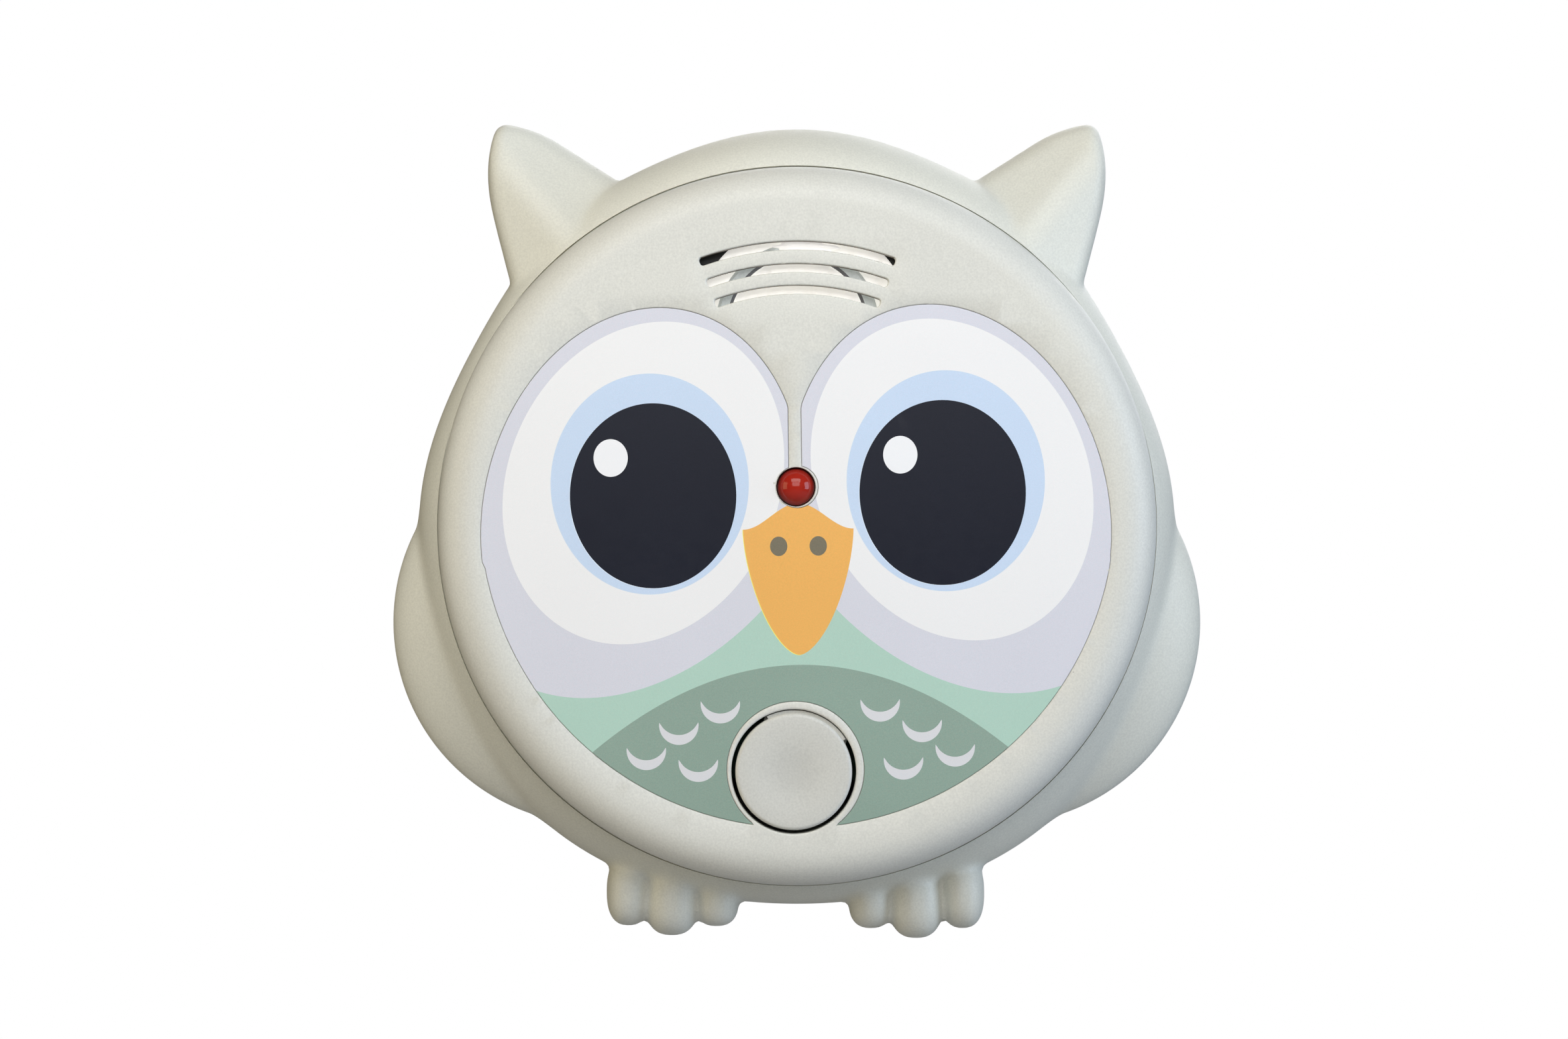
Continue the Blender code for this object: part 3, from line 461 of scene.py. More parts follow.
def paint_dish_shade(material):
    """Paint shade into the middle of the button's dish, so that it is a little darker than its rim."""
    tree = material.node_tree
    base = tree.nodes["Principled BSDF"].inputs["Base Color"]
    hinge = joint_place("button_press")
    middle = (BUTTON_AT[0] * MM - hinge[0], -0.0375 - hinge[1], BUTTON_AT[1] * MM - hinge[2])
    place = add_node(tree, "TexCoord").outputs["Object"]
    away = add_node(tree, "VectorMath", {0: place, 1: middle}, operation="DISTANCE").outputs["Value"]
    # painted shade: 10 % darker at the dish's middle, fading out toward the rim
    shade = add_node(tree, "MapRange", {"Value": away, "From Min": 0.001, "From Max": 0.0055,
                                        "To Min": 0.90, "To Max": 1.0}, interpolation_type="SMOOTHSTEP")
    scaled = add_node(tree, "VectorMath", {0: base.links[0].from_socket, "Scale": shade.outputs["Result"]},
                      operation="SCALE")
    tree.links.new(scaled.outputs[0], base)
    return material


def painted_slot_glow(material, share):
    """Make a piece behind the sound slots glow in its own colour: painted light standing in for the daylight
    that the deep slots shut out.
    """
    tree = material.node_tree
    shader = tree.nodes["Principled BSDF"]
    tree.links.new(shader.inputs["Base Color"].links[0].from_socket, shader.inputs["Emission Color"])
    shader.inputs["Emission Strength"].default_value = share
    return material


def clear_glue():
    """Smear of set glue: glossy and as pale as the silver disc, and glowing in its own colour like the disc,
    as painted light.
    """
    n = Nodes("clear_glue")
    colour = n.mix(n.noise(500, 2), (0.84, 0.82, 0.79), (0.93, 0.91, 0.88))
    glue = n.set(Base_Color=colour, Roughness=0.25, Normal=n.bump(n.noise(900, 2), 0.05 * MM))
    # painted light: the glue glows in its own colour
    return painted_slot_glow(glue, 0.58)


# ---------------------------------------------------------------- camera, light and stage

CAMERA_DISTANCE = 0.55         # in metres, from the widest plane of the cover
VIEW_PLANE_Y = -0.0315
VIEW_WIDTH = 0.2182            # width of the picture at that plane
VIEW_CENTRE = (-0.00184, 0.00092)
SENSOR = 36.0


def make_camera():
    data = bpy.data.cameras.new("camera")
    data.sensor_width = SENSOR
    data.lens = SENSOR * CAMERA_DISTANCE / VIEW_WIDTH
    camera = add_object("camera", data)
    camera.location = (VIEW_CENTRE[0], VIEW_PLANE_Y - CAMERA_DISTANCE, VIEW_CENTRE[1])
    camera.rotation_euler = (math.pi / 2, 0, 0)
    bpy.context.scene.camera = camera


LIGHT_TARGET = Vector((0, -0.03, 0))
LIGHTS = (                     # name, place, size, power, colour; each one points at the target
    ("front_soft", (0.0, -1.32, 0.42), (1.1, 0.6), 7.2, (1.0, 1.0, 1.0)),
    ("top_near", (0.0, -0.42, 0.36), (0.5, 0.2), 1.47, (1.0, 1.0, 0.98)),
    ("left_warm", (-0.9, -0.35, 0.12), (0.5, 0.6), 2.1, (1.0, 0.84, 0.50)),
    ("right_cool", (0.9, -0.35, 0.12), (0.5, 0.6), 4.7, (0.64, 0.79, 1.0)),
    ("back_fill", (0.3, 0.90, 0.50), (1.0, 0.8), 6.0, (1.0, 1.0, 1.0)),
)


def make_lights():
    for name, place, size, power, colour in LIGHTS:
        data = bpy.data.lights.new(name, "AREA")
        data.shape = "RECTANGLE"
        data.size, data.size_y = size
        data.energy = power
        data.color = colour
        light = add_object(name, data)
        light.location = place
        light.rotation_euler = (LIGHT_TARGET - Vector(place)).to_track_quat("-Z", "Y").to_euler()


def make_world():
    """White to the camera, a dim room to everything else."""
    world = bpy.data.worlds.new("studio")
    bpy.context.scene.world = world
    world.use_nodes = True
    tree = world.node_tree
    tree.nodes.clear()
    seen = add_node(tree, "Background", {"Color": (1, 1, 1, 1)})
    room = add_node(tree, "Background", {"Color": (0.98, 0.99, 1.0, 1), "Strength": 0.04})
    path = add_node(tree, "LightPath")
    mix = add_node(tree, "MixShader", {0: path.outputs["Is Camera Ray"], 1: room.outputs[0],
                                       2: seen.outputs[0]})
    add_node(tree, "OutputWorld", {0: mix.outputs[0]})


def make_stage():
    """A floor well below the alarm: white to the camera, grey to the light that bounces off it."""
    n = Nodes("stage_floor")
    colour = n.grey(n.remap(n.noise(3, 2), 0.3, 0.7, 0.44, 0.48))
    seen = n.mix(n.add("LightPath").outputs["Is Camera Ray"], (0, 0, 0), (1, 1, 1))
    material = n.set(Base_Color=colour, Roughness=0.8, Emission_Color=seen, Emission_Strength=0.8)
    reach, drop = 1500, 420
    corners = [(-reach, -reach, -drop), (reach, -reach, -drop), (reach, reach, -drop), (-reach, reach, -drop)]
    floor = add_mesh("stage_floor", corners, [[0, 1, 2, 3]], [material], smooth_angle=0)


# ---------------------------------------------------------------- front cover

def circles_meet(first, second):
    """The point of larger x where two circles (x, z, radius) meet."""
    (x, z, radius), (other_x, other_z, other_radius) = first, second
    gap = math.hypot(other_x - x, other_z - z)
    along = (gap ** 2 + radius ** 2 - other_radius ** 2) / (2 * gap)
    aside = math.sqrt(radius ** 2 - along ** 2)
    toward = ((other_x - x) / gap, (other_z - z) / gap)
    return max((x + toward[0] * along + way * toward[1] * aside,
                z + toward[1] * along - way * toward[0] * aside) for way in (-1, 1))


def angle_to(point, centre):
    """Direction of a point seen from a centre, in degrees from +X toward +Z."""
    return math.degrees(math.atan2(point[1] - centre[1], point[0] - centre[0]))


def label_side(side):
    """One side of the level outline, as if on the right: channel, eye lobe, chin."""
    x0, z0, half_w, half_h, lean = EYE_LOBE
    turn = np.radians(np.linspace(-66, 126, 150))
    lobe = turn_points([(half_w * math.sin(a), half_h * math.cos(a)) for a in turn], lean)
    lobe = [(x0 + x, z0 + z) for x, z in lobe]
    lobe = [p for p in lobe if p[0] > CHANNEL_HALF and p[1] > CHIN_TOP_Z]
    chin = (side * CHIN[0], CHIN[1], CHIN[2])
    tip = circles_meet(chin, (side * BUTTON_RING[0], BUTTON_RING[1], BUTTON_RING[2]))
    chin_start = math.degrees(math.asin((CHIN_TOP_Z - CHIN[1]) / chin[2])) - 1
    led_top = LED_RING[1] + math.sqrt(LED_RING[2] ** 2 - (CHANNEL_HALF - side * LED_RING[0]) ** 2)
    rise = np.linspace(led_top, lobe[0][1], 14)[:-1]
    return [(CHANNEL_HALF, z) for z in rise] + lobe + arc(chin, chin[2], chin_start, angle_to(tip, chin), 80)


def label_outline():
    """Closed outline of the label: two eye lobes, a round chin, and gaps for LED, channel and button."""
    right = label_side(1)
    left = [(-x, z) for x, z in label_side(-1)]
    button_ring = arc(BUTTON_RING, BUTTON_RING[2], angle_to(right[-1], BUTTON_RING),
                      360 + angle_to(left[-1], BUTTON_RING), 90)[1:-1]
    led_ring = arc(LED_RING, LED_RING[2], angle_to(left[0], LED_RING),
                   360 + angle_to(right[0], LED_RING), 48)[1:-1]
    outline = turn_points(right + button_ring + left[::-1] + led_ring, LABEL_TURN)
    return [(x + LABEL_SHIFT, z) for x, z in outline]


def rounded_bar(half_length, half_height, corner):
    """Closed outline of a bar with rounded corners; its long sides are split finely so that it can bend."""
    far, high = half_length - corner, half_height - corner
    outline = []
    for x, z, start in ((far, high, 0), (-far, high, 90), (-far, -high, 180), (far, -high, 270)):
        outline += arc((x, z), corner, start, start + 90, 6)
        if start in (0, 180):
            way = 1 if start == 0 else -1
            outline += [(way * u, way * half_height) for u in np.linspace(far, -far, 60)[1:-1]]
    return outline


def slot_outline(radius, half_span):
    """A sound slot: a rounded bar bent along its arc."""
    half = SLOT_HEIGHT / 2
    bar = rounded_bar(radius * math.radians(half_span) + half, half, 0.42)
    return [(SLOT_CENTRE[0] + (radius + v) * math.sin(u / radius),
             SLOT_CENTRE[1] + (radius + v) * math.cos(u / radius)) for u, v in bar]


def edge_steps(radius, count=4):
    """Outward distance and depth of each ring of a rounded hole edge, from the face inward."""
    turns = np.radians(np.linspace(0, 90, count + 1))
    return [(radius * (1 - math.sin(t)), radius * (1 - math.cos(t))) for t in turns]


def build_cover(look):
    """Domed face with rounded hole edges and a sunk bed for the label, turned rim, and the inside."""
    holes = [(slot_outline(r, s), SLOT_ROUNDING) for r, s in zip(SLOT_RADII, SLOT_HALF_SPANS)]
    holes.append((circle(BUTTON_AT, BUTTON_HOLE_R, 120), BUTTON_HOLE_ROUNDING))
    holes.append((circle(LED_AT, LED_HOLE_R, 72), LED_HOLE_ROUNDING))
    loops, depths = [], []
    flat_end = COVER_R - RIM_R
    loops.append(circle((0, 0), flat_end, AROUND))
    depths.append(0.0)
    for outline, radius in holes:
        for out, depth in edge_steps(radius):
            loops.append(spread(outline, out))
            depths.append(depth)
    bed = label_outline()
    for out, depth in BED_EDGE:
        loops.append(spread(bed, MOAT + out))
        depths.append(depth)
    points, faces = mesh_plane(loops, 4.0, flat_end - 1)
    middle = centres(points, faces)
    keep = np.hypot(*middle.T) < flat_end
    for outline, _ in holes:
        keep &= ~inside(middle, outline)
    faces = [face for face, kept in zip(faces, keep) if kept]
    depth = np.zeros(len(points))
    depth[inside(points, loops[-1])] = BED_DEPTH
    for loop, value in zip(loops, depths):
        for index in nearest(points, loop):
            depth[index] = value
    return close_cover(points, faces, depth, flat_end, look)


def nearest(points, loop):
    """Index of the mesh point on each point of a loop."""
    key = {tuple(np.round(p, 4)): i for i, p in enumerate(points)}
    found = (key.get(tuple(np.round(p, 4))) for p in loop)
    return [i for i in found if i is not None]


def cover_rim():
    """Profile (radius, y) from the face's edge over the rim, along the seam and back up the inside."""
    flat_end = COVER_R - RIM_R
    rim_y = face_depth(flat_end, 0) + RIM_R
    outer = [(flat_end + RIM_R * math.sin(a), rim_y - RIM_R * math.cos(a))
             for a in np.radians(np.linspace(4, 90, 22))]
    outer += [(COVER_R - 0.35, SEAM_Y - 0.4), (COVER_R - 0.5, SEAM_Y - 0.12), (COVER_R - 0.85, SEAM_Y)]
    inner_r = COVER_R - COVER_SIDE_WALL
    inner = [(inner_r, SEAM_Y), (inner_r, rim_y - 0.3), (inner_r - 1.0, rim_y - 2.2)]
    return outer + inner


def over_slot(point):
    """True on the upper wall of a sound slot, which takes the dark brown painted shade."""
    reach = math.dist(point, SLOT_CENTRE)
    return point[1] > SLOT_CENTRE[1] and any(abs(reach - r - SLOT_HEIGHT / 2) < 0.05 for r in SLOT_RADII)


def close_cover(points, faces, depth, flat_end, look):
    """Join the face to its inner copy through the hole walls, and to the rim around the outside."""
    total = len(points)
    radius = np.hypot(*points.T)
    face_y = face_depth(*points.T)
    verts, out, walls = sheet(points, faces, face_y + depth, face_y + COVER_WALL)
    edge = sorted((math.atan2(points[i][1], points[i][0]) % (2 * math.pi), i) for i in range(total)
                  if abs(radius[i] - flat_end) < 0.01)
    ring = [i for _, i in edge]
    count = len(ring)
    rings = [ring]
    for r, y in cover_rim():
        rings.append(range(len(verts), len(verts) + count))
        verts += [(r * math.cos(a), y, r * math.sin(a)) for a, _ in edge]
    rings.append([i + total for i in ring])
    for first, second in zip(rings, rings[1:]):
        out += [[first[i], first[(i + 1) % count], second[(i + 1) % count], second[i]] for i in range(count)]
    walls = [wall for wall in walls if not set(ring).issuperset(wall[:2])]
    # the slots' upper walls take the painted shade; every other face takes the cover's plastic
    places = [0] * len(out) + [int(all(over_slot(points[i]) for i in wall[:2])) for wall in walls]
    cover = add_mesh("front_cover_shell", verts, out + walls, [look["cover"], look["painted_slot_shade"]], places, 40)
    bpy.context.view_layer.update()
    drop_loose(cover)
    return stand_in(cover, "alarm", "cover_plastic", "front_cover")


def drop_loose(obj):
    """Remove points that no face uses."""
    with editing(obj.data) as bm:
        bmesh.ops.delete(bm, geom=[v for v in bm.verts if not v.link_faces], context="VERTS")


# ---------------------------------------------------------------- printed label

def printed(points):
    """Move level print outlines to where the printing sits on the face."""
    return [(x + PRINT_SHIFT, z) for x, z in turn_points(points, PRINT_TURN)]


def beak_outline():
    """Shield-shaped beak: a wavy brow above, and sides that bow in to a blunt tip."""
    half, brow_z, crest, length = 7.6, -0.4, 3.55, 17.3
    brow = [(x, brow_z + crest * (1 + math.cos(math.pi * x / half)) / 2)
            for x in np.linspace(half, -half, 60)]
    share = 1 - (1 - np.linspace(0, 1, 60)[1:]) ** 1.8
    left = [(-half * max(1 - s ** 1.6, 0) ** 0.6, brow_z - length * s) for s in share]
    right = [(-x, z) for x, z in left[-2::-1]]
    return brow + left + right


def crescent_outline(place):
    """Feather mark with its horns up; the place is between the horns."""
    outer_half, horn_half, height, thick = 2.72, 2.57, 2.95, 1.36
    drop = height - outer_half
    start = math.degrees(math.asin(drop / outer_half))
    outer = [(x, z - drop) for x, z in arc((0, 0), outer_half, start + 3, -180 - start - 3, 40)]
    inner_low = thick - height
    radius = (horn_half ** 2 + inner_low ** 2) / (-2 * inner_low)
    span = math.degrees(math.asin(horn_half / radius))
    inner = arc((0, inner_low + radius), radius, 270 - span, 270 + span, 30)[1:-1]
    return [(place[0] + x, place[1] + z) for x, z in outer + inner]


def belly_outline():
    """Area below the belly's upper edge, which is a parabola."""
    crest, bend = -19.07, 0.01427
    upper = [(x, crest - bend * x * x) for x in np.linspace(44, -44, 90)]
    return upper + [(-44, -60), (44, -60)]


def print_areas():
    """Closed outlines with the ink each holds, in the order they are printed."""
    areas = []
    for side in (-1, 1):
        areas.append((ellipse((side * 21.26, 6.19), (23.8, 32.7), side * math.radians(38.8)), "lilac"))
    for side in (-1, 1):
        areas.append((ellipse((side * 21.26, 6.19), (18.63, 22.87), side * math.radians(24.9), 220), "white"))
        areas.append((ellipse((side * 20.38, 6.03), (13.65, 15.2)), "iris"))
        pupil = ellipse((side * 19.93, 4.41), (11.46, 12.73))
        areas.append(([(x - 0.07, z - 0.05) for x, z in pupil], "edge_pale"))
        areas.append((pupil, "pupil"))
        areas.append((ellipse((side * 19.93 - 5.78, 4.41 + 5.26), (2.36, 2.59), count=72), "glint"))
    areas.append((belly_outline(), "sage"))
    beak = beak_outline()
    areas.append(([(x - 0.09, z - 0.05) for x, z in beak], "edge_yellow"))
    areas.append((beak, "beak"))
    for side in (-1, 1):
        areas.append((ellipse((side * 2.72, -2.74), (1.19, 1.34), count=48), "nostril"))
        for place in ((11.0, -24.07), (16.75, -26.97), (21.27, -30.4), (14.13, -32.1)):
            areas.append((crescent_outline((side * place[0], place[1])), "crescent"))
    return [(printed(outline), look) for outline, look in areas]


def build_label(look):
    """Thin film on the dome, cut to its outline and split along every printed edge."""
    outline = label_outline()
    areas = print_areas()
    rim = 0.06
    loops = [outline, spread(outline, -rim)] + [area for area, _ in areas]
    points, faces = mesh_plane(loops, 3.0, 44)
    middle = centres(points, faces)
    keep = inside(middle, outline)
    faces = [face for face, kept in zip(faces, keep) if kept]
    middle = middle[keep]
    names = ["mint", "film_edge"] + sorted({name for _, name in areas})
    places = np.zeros(len(faces), int)
    for area, name in areas:
        places[inside(middle, area)] = names.index(name)
    on_edge = set(nearest(points, outline))
    middle_depth, rim_depth, back_depth = FILM_DEPTHS
    front = [face_depth(x, z) + (rim_depth if i in on_edge else middle_depth)
             for i, (x, z) in enumerate(points)]
    back = [face_depth(x, z) + back_depth for x, z in points]
    verts, both, walls = sheet(points, faces, front, back)
    film_edge = [names.index("film_edge")]
    spots = list(places) + film_edge * (len(faces) + len(walls))
    label = add_mesh("face_print", verts, both + walls, [look[name] for name in names], spots)
    drop_loose(label)
    return stand_in(label, "alarm", "label_film", "face_label")


# ---------------------------------------------------------------- button, LED and sounder

ARM_TILT = math.radians(16)
ARM_LENGTH = 19.0


def arm_place(along, side=0.0):
    """x, z of a point on the button's arm: along it from the button's centre, and to its right."""
    c, s = math.cos(ARM_TILT), math.sin(ARM_TILT)
    return (BUTTON_AT[0] + along * s + side * c, BUTTON_AT[1] + along * c - side * s)


def build_button(look):
    """Dished cap with a rounded rim, and the flexure arm that spreads out behind it."""
    rim_r, rim_y, edge = 8.05, -37.62, 0.55
    dish = [(r, rim_y + 0.34 * (1 - (r / 6.6) ** 2) ** 2) for r in np.linspace(0, 6.6, 16)]
    corner = (rim_r - edge, rim_y + edge)
    rim = [(corner[0] + edge * math.sin(a), corner[1] - edge * math.cos(a))
           for a in np.radians(np.linspace(0, 90, 8))]
    back = [(rim_r, -34.3), (rim_r - 0.1, -34.2), (6.9, -34.2), (6.9, -35.8), (1.6, -35.8), (1.6, -31.7),
            (1.5, -31.6), (0, -31.6)]
    hinge = tuple(value / MM for value in joint_place("button_press"))
    cap = turned("test_button_cap", dish + rim + back, [look["button"]], BUTTON_AT, 160, origin=hinge)
    stand_in(cap, "button", "button_plastic", "test_button")
    toward_arm = 90 - math.degrees(ARM_TILT)
    shoulder = sector_about(BUTTON_AT, 7.9, 8.45, toward_arm, 84, -36.9, -35.0, look["button"],
                            "test_button_shoulder")
    stand_in(shoulder, "button", "button_plastic")
    root, tip, root_half, half = 5.5, ARM_LENGTH + 1.5, 5.9, 3.0
    flare = [(along, root_half + (half - root_half) * share * share * (3 - 2 * share))
             for along, share in zip(np.linspace(9.5, 14.5, 10), np.linspace(0, 1, 10))]
    right = [arm_place(root, root_half)] + [arm_place(along, wide) for along, wide in flare]
    left = [arm_place(root, -root_half)] + [arm_place(along, -wide) for along, wide in flare]
    end = [arm_place(tip + 2.2 * math.cos(a), half * math.sin(a)) for a in np.radians(range(90, -91, -15))]
    arm = prism("test_button_arm", right + end + left[::-1], -35.1, -34.1, look["button"])
    carve(arm, [rod(arm_place(ARM_LENGTH), 1.6, -36, -33, look["button"], 40)])
    soften(arm, 0.12)
    stand_in(arm, "button", "button_plastic")


def sector_about(centre, r_in, r_out, middle, width, y_front, y_back, material, name="sector_tool"):
    """A stretch of a flat ring about a centre; angles in degrees from +X toward +Z."""
    outer = arc(centre, r_out, middle - width / 2, middle + width / 2, 40)
    inner = arc(centre, r_in, middle + width / 2, middle - width / 2, 40)
    return prism(name, outer + inner, y_front, y_back, material)


def joint_place(name):
    """Where a joint is, in metres."""
    return next(joint["pos_m"] for joint in frame["joints"] if joint["name"] == name)


def build_led(look):
    """Round-nosed LED: glossy dome, straight sides, flange and two legs."""
    dome_r = 2.62
    dome_y = LED_TIP_Y + dome_r
    profile = [(dome_r * math.sin(a), dome_y - dome_r * math.cos(a))
               for a in np.radians(np.linspace(0, 90, 24))]
    profile[0] = (0, LED_TIP_Y)
    profile += [(dome_r, -31.6), (2.85, -31.6), (2.9, -31.5), (2.9, -30.7), (2.8, -30.6), (0, -30.6)]
    dome = turned("led_dome", profile, [look["led"]], LED_AT, 96)
    stand_in(dome, "alarm", "led_red", "status_led")
    for number, side in enumerate((-1, 1)):
        place = (LED_AT[0] + side * LEG_PITCH / 2, LED_AT[1])
        leg = rod(place, 0.25, -30.7, -26.4, look["steel"], 20, f"led_leg_{number}")
        stand_in(leg, "alarm", "steel")


def build_sounder(look):
    """Silver disc in its black chamber, a pale ring in front of it and a smear of glue."""
    disc_low, disc_high = box("piezo_disc")
    disc_front, disc_back = disc_low[1], disc_high[1]
    disc_r = (disc_high[0] - disc_low[0]) / 2
    profile = [(0, disc_front), (disc_r - 0.1, disc_front), (disc_r, disc_front + 0.08), (disc_r, disc_back),
               (0, disc_back)]
    disc = turned("sounder_disc", profile, [look["piezo"]], SOUNDER_AT, 160)
    stand_in(disc, "alarm", "piezo_metal", "piezo_disc")
    back, ledge, edge = -27.4, -32.8, 0.25
    wall = [(0, back), (17.6 - edge, back), (17.6, back - edge), (17.6, -34 + edge), (17.6 - edge, -34),
            (15.2, -34), (15.2, -33.6), (16.7, -33.6), (16.7, ledge), (15.4, ledge), (15.4, back - 1.2),
            (0, back - 1.2)]
    chamber = turned("sounder_cup", wall, [look["black"]], SOUNDER_AT, 128)
    stand_in(chamber, "alarm", "chamber_plastic", "sounder_chamber")
    inner, outer, edge = 9.4, 11.3, 0.4
    front, rear = (corner[1] for corner in box("sounder_ring"))
    ring = [(inner, rear), (inner, front + edge), (inner + edge, front), (outer - edge, front),
            (outer, front + edge), (outer, rear)]
    # the ring's inner wall and inner rounded edge take the painted shade; its front, outer edge, outer wall
    # and back take the pale plastic
    pale_ring = turned("sounder_pale_ring", ring, [look["pale"], look["painted_ring_shade"]],
                       middle_of("sounder_ring"), 160, places=[1, 1, 0, 0, 0, 0])
    stand_in(pale_ring, "alarm", "pale_plastic", "sounder_ring")
    build_glue(look, front)


def build_glue(look, ring_front):
    """A low, lumpy smear of clear glue on the top of the pale ring."""
    half_w, half_h, height, around, rings = 4.3, 0.85, 0.32, 96, 8
    centre = (1.0, 38.6)
    verts, faces = [(centre[0], ring_front - height - 0.02, centre[1])], []
    for step in range(1, rings + 1):
        share = step / rings
        for i in range(around):
            a = 2 * math.pi * i / around
            lump = 1 + 0.12 * math.sin(3 * a + 1) + 0.09 * math.sin(7 * a) + 0.05 * math.sin(11 * a + 2)
            x = centre[0] + half_w * share * lump * math.cos(a)
            z = centre[1] + half_h * share * lump * math.sin(a) - 0.012 * (x - centre[0]) ** 2
            verts.append((x, ring_front - 0.02 - height * (1 - share ** 4) ** 0.5, z))
    for i in range(around):
        faces.append([0, 1 + i, 1 + (i + 1) % around])
    for step in range(rings - 1):
        low, high = 1 + step * around, 1 + (step + 1) * around
        faces += [[low + i, high + i, high + (i + 1) % around, low + (i + 1) % around] for i in range(around)]
    faces.append([1 + (rings - 1) * around + i for i in range(around)][::-1])
    glue = add_mesh("glue_smear", verts, faces, [look["glue"]])
    stand_in(glue, "alarm", "pale_plastic")


# ---------------------------------------------------------------- skin of the back housing

CORE_R = 46.0
CORE_Y = -12.0
FRONT_REACH = 12.6
BACK_REACH = 11.4
HOUSING_WALL = 2.2
CAVITY_FLOOR_Y = -8.0
CAVITY_FRONT_Y = -21.4
BODY_OUTLINE = ((-90, 54.3), (-50, 55.9), (0, 54.3), (28, 53.1), (62, 55.7), (90, 57.0))   # angle, radius
EAR_PLANES = (                 # a point on each plane and its outward direction
    ((32.0, 0, 53.6), (-0.54, 0, 0.84)),
    ((41.3, 0, 57.9), (-0.10, 0, 1.0)),
    ((44.4, 0, 51.6), (0.98, 0, 0.17)),
    ((42.9, 0, 42.1), (0.97, 0, -0.26)),
    ((40.1, 0, 31.0), (-0.37, 0, -0.93)),
    ((18.0, 0, 45.0), (-1.0, 0, 0)),
    ((0, -5.0, 0), (0, 1.0, 0)),
    ((35.1, -22.0, 43.9), (-0.28, -1.0, 0.68)),
    ((35.1, -22.0, 43.9), (0.48, -1.0, 0.03)),
)
EAR_ROUNDING = 2.2
WING = ((28.9, -13.0, -13.8), (29.1, 10.5, 29.1))
TOES = (                       # centre x, centre z, half sizes
    (-24.1, -52.3, (3.15, 7.0, 4.9)), (-17.9, -53.5, (3.9, 7.5, 5.1)), (-11.5, -53.8, (3.15, 6.6, 3.5)),
    (10.6, -53.9, (3.15, 6.6, 3.7)), (17.05, -53.8, (3.9, 7.5, 5.2)), (23.7, -52.5, (3.15, 7.0, 5.1)),
)
TOE_Y = -14.0
CREASE = 1.2                   # softness where the toes grow out of the body
FINE_CREASE = 0.6              # the same at ears and wings
TOE_SQUARENESS = 2.5
FRONT_POWER = 2.2              # how square the oval section is, in front of the core and behind it
BACK_POWER = 3.0


def smooth_min(a, b, blend):
    """The lower of two distances, blended where they are nearly the same."""
    share = np.clip(0.5 + 0.5 * (b - a) / blend, 0.0, 1.0)
    return b * (1 - share) + a * share - blend * share * (1 - share)


def body_distance(x, y, z):
    """Round body: an oval section around the core, whose outer radius follows BODY_OUTLINE."""
    angle = np.degrees(np.arctan2(z, np.abs(x)))
    keys, radii = (np.array(values, float) for values in zip(*BODY_OUTLINE))
    place = np.clip(np.searchsorted(keys, angle) - 1, 0, len(keys) - 2)
    share = (angle - keys[place]) / (keys[place + 1] - keys[place])
    share = (1 - np.cos(np.pi * share)) / 2
    side_reach = radii[place] * (1 - share) + radii[place + 1] * share - CORE_R
    out = np.maximum(np.hypot(x, z) - CORE_R, 0) / side_reach
    front = np.maximum(CORE_Y - y, 0) / FRONT_REACH
    back = np.maximum(y - CORE_Y, 0) / BACK_REACH
    size = ((out ** FRONT_POWER + front ** FRONT_POWER) ** (1 / FRONT_POWER)
            + (out ** BACK_POWER + back ** BACK_POWER) ** (1 / BACK_POWER) - out)
    return (size - 1) * side_reach


def ellipsoid_distance(point, centre, half, power=2.0):
    """A rounded block with these half sizes; a higher power makes it squarer."""
    total = sum(np.abs((p - c) / h) ** power for p, c, h in zip(point, centre, half))
    return (total ** (1 / power) - 1) * min(half)


def ear_distance(x, y, z):
    """The ear on the +X side: the space behind all its planes, with rounded edges between them."""
    planes = []
    for point, out in EAR_PLANES:
        length = math.sqrt(sum(value * value for value in out))
        planes.append(sum((p - q) * n for p, q, n in zip((x, y, z), point, out)) / length)
    result = -smooth_min(-planes[-1], -planes[-2], EAR_ROUNDING)
    for here in planes[:-2]:
        result = -smooth_min(-result, -here, EAR_ROUNDING)
    return result


def housing_distance(x, y, z):
    """Below zero inside the housing's outer skin, above zero outside."""
    side = np.abs(x)
    skin = smooth_min(body_distance(x, y, z), ear_distance(side, y, z), FINE_CREASE)
    skin = smooth_min(skin, ellipsoid_distance((side, y, z), *WING), FINE_CREASE)
    toes = None
    for centre_x, centre_z, half in TOES:
        toe = ellipsoid_distance((x, y, z), (centre_x, TOE_Y, centre_z), half, TOE_SQUARENESS)
        toes = toe if toes is None else smooth_min(toes, toe, CREASE)
    return smooth_min(skin, toes, CREASE)


def cavity_distance(x, y, z):
    """The hollow of the housing: a wall's thickness inside its skin, between two flat ends."""
    ends = np.maximum(y - CAVITY_FLOOR_Y, CAVITY_FRONT_Y - y)
    return np.maximum(housing_distance(x, y, z) + HOUSING_WALL, ends)


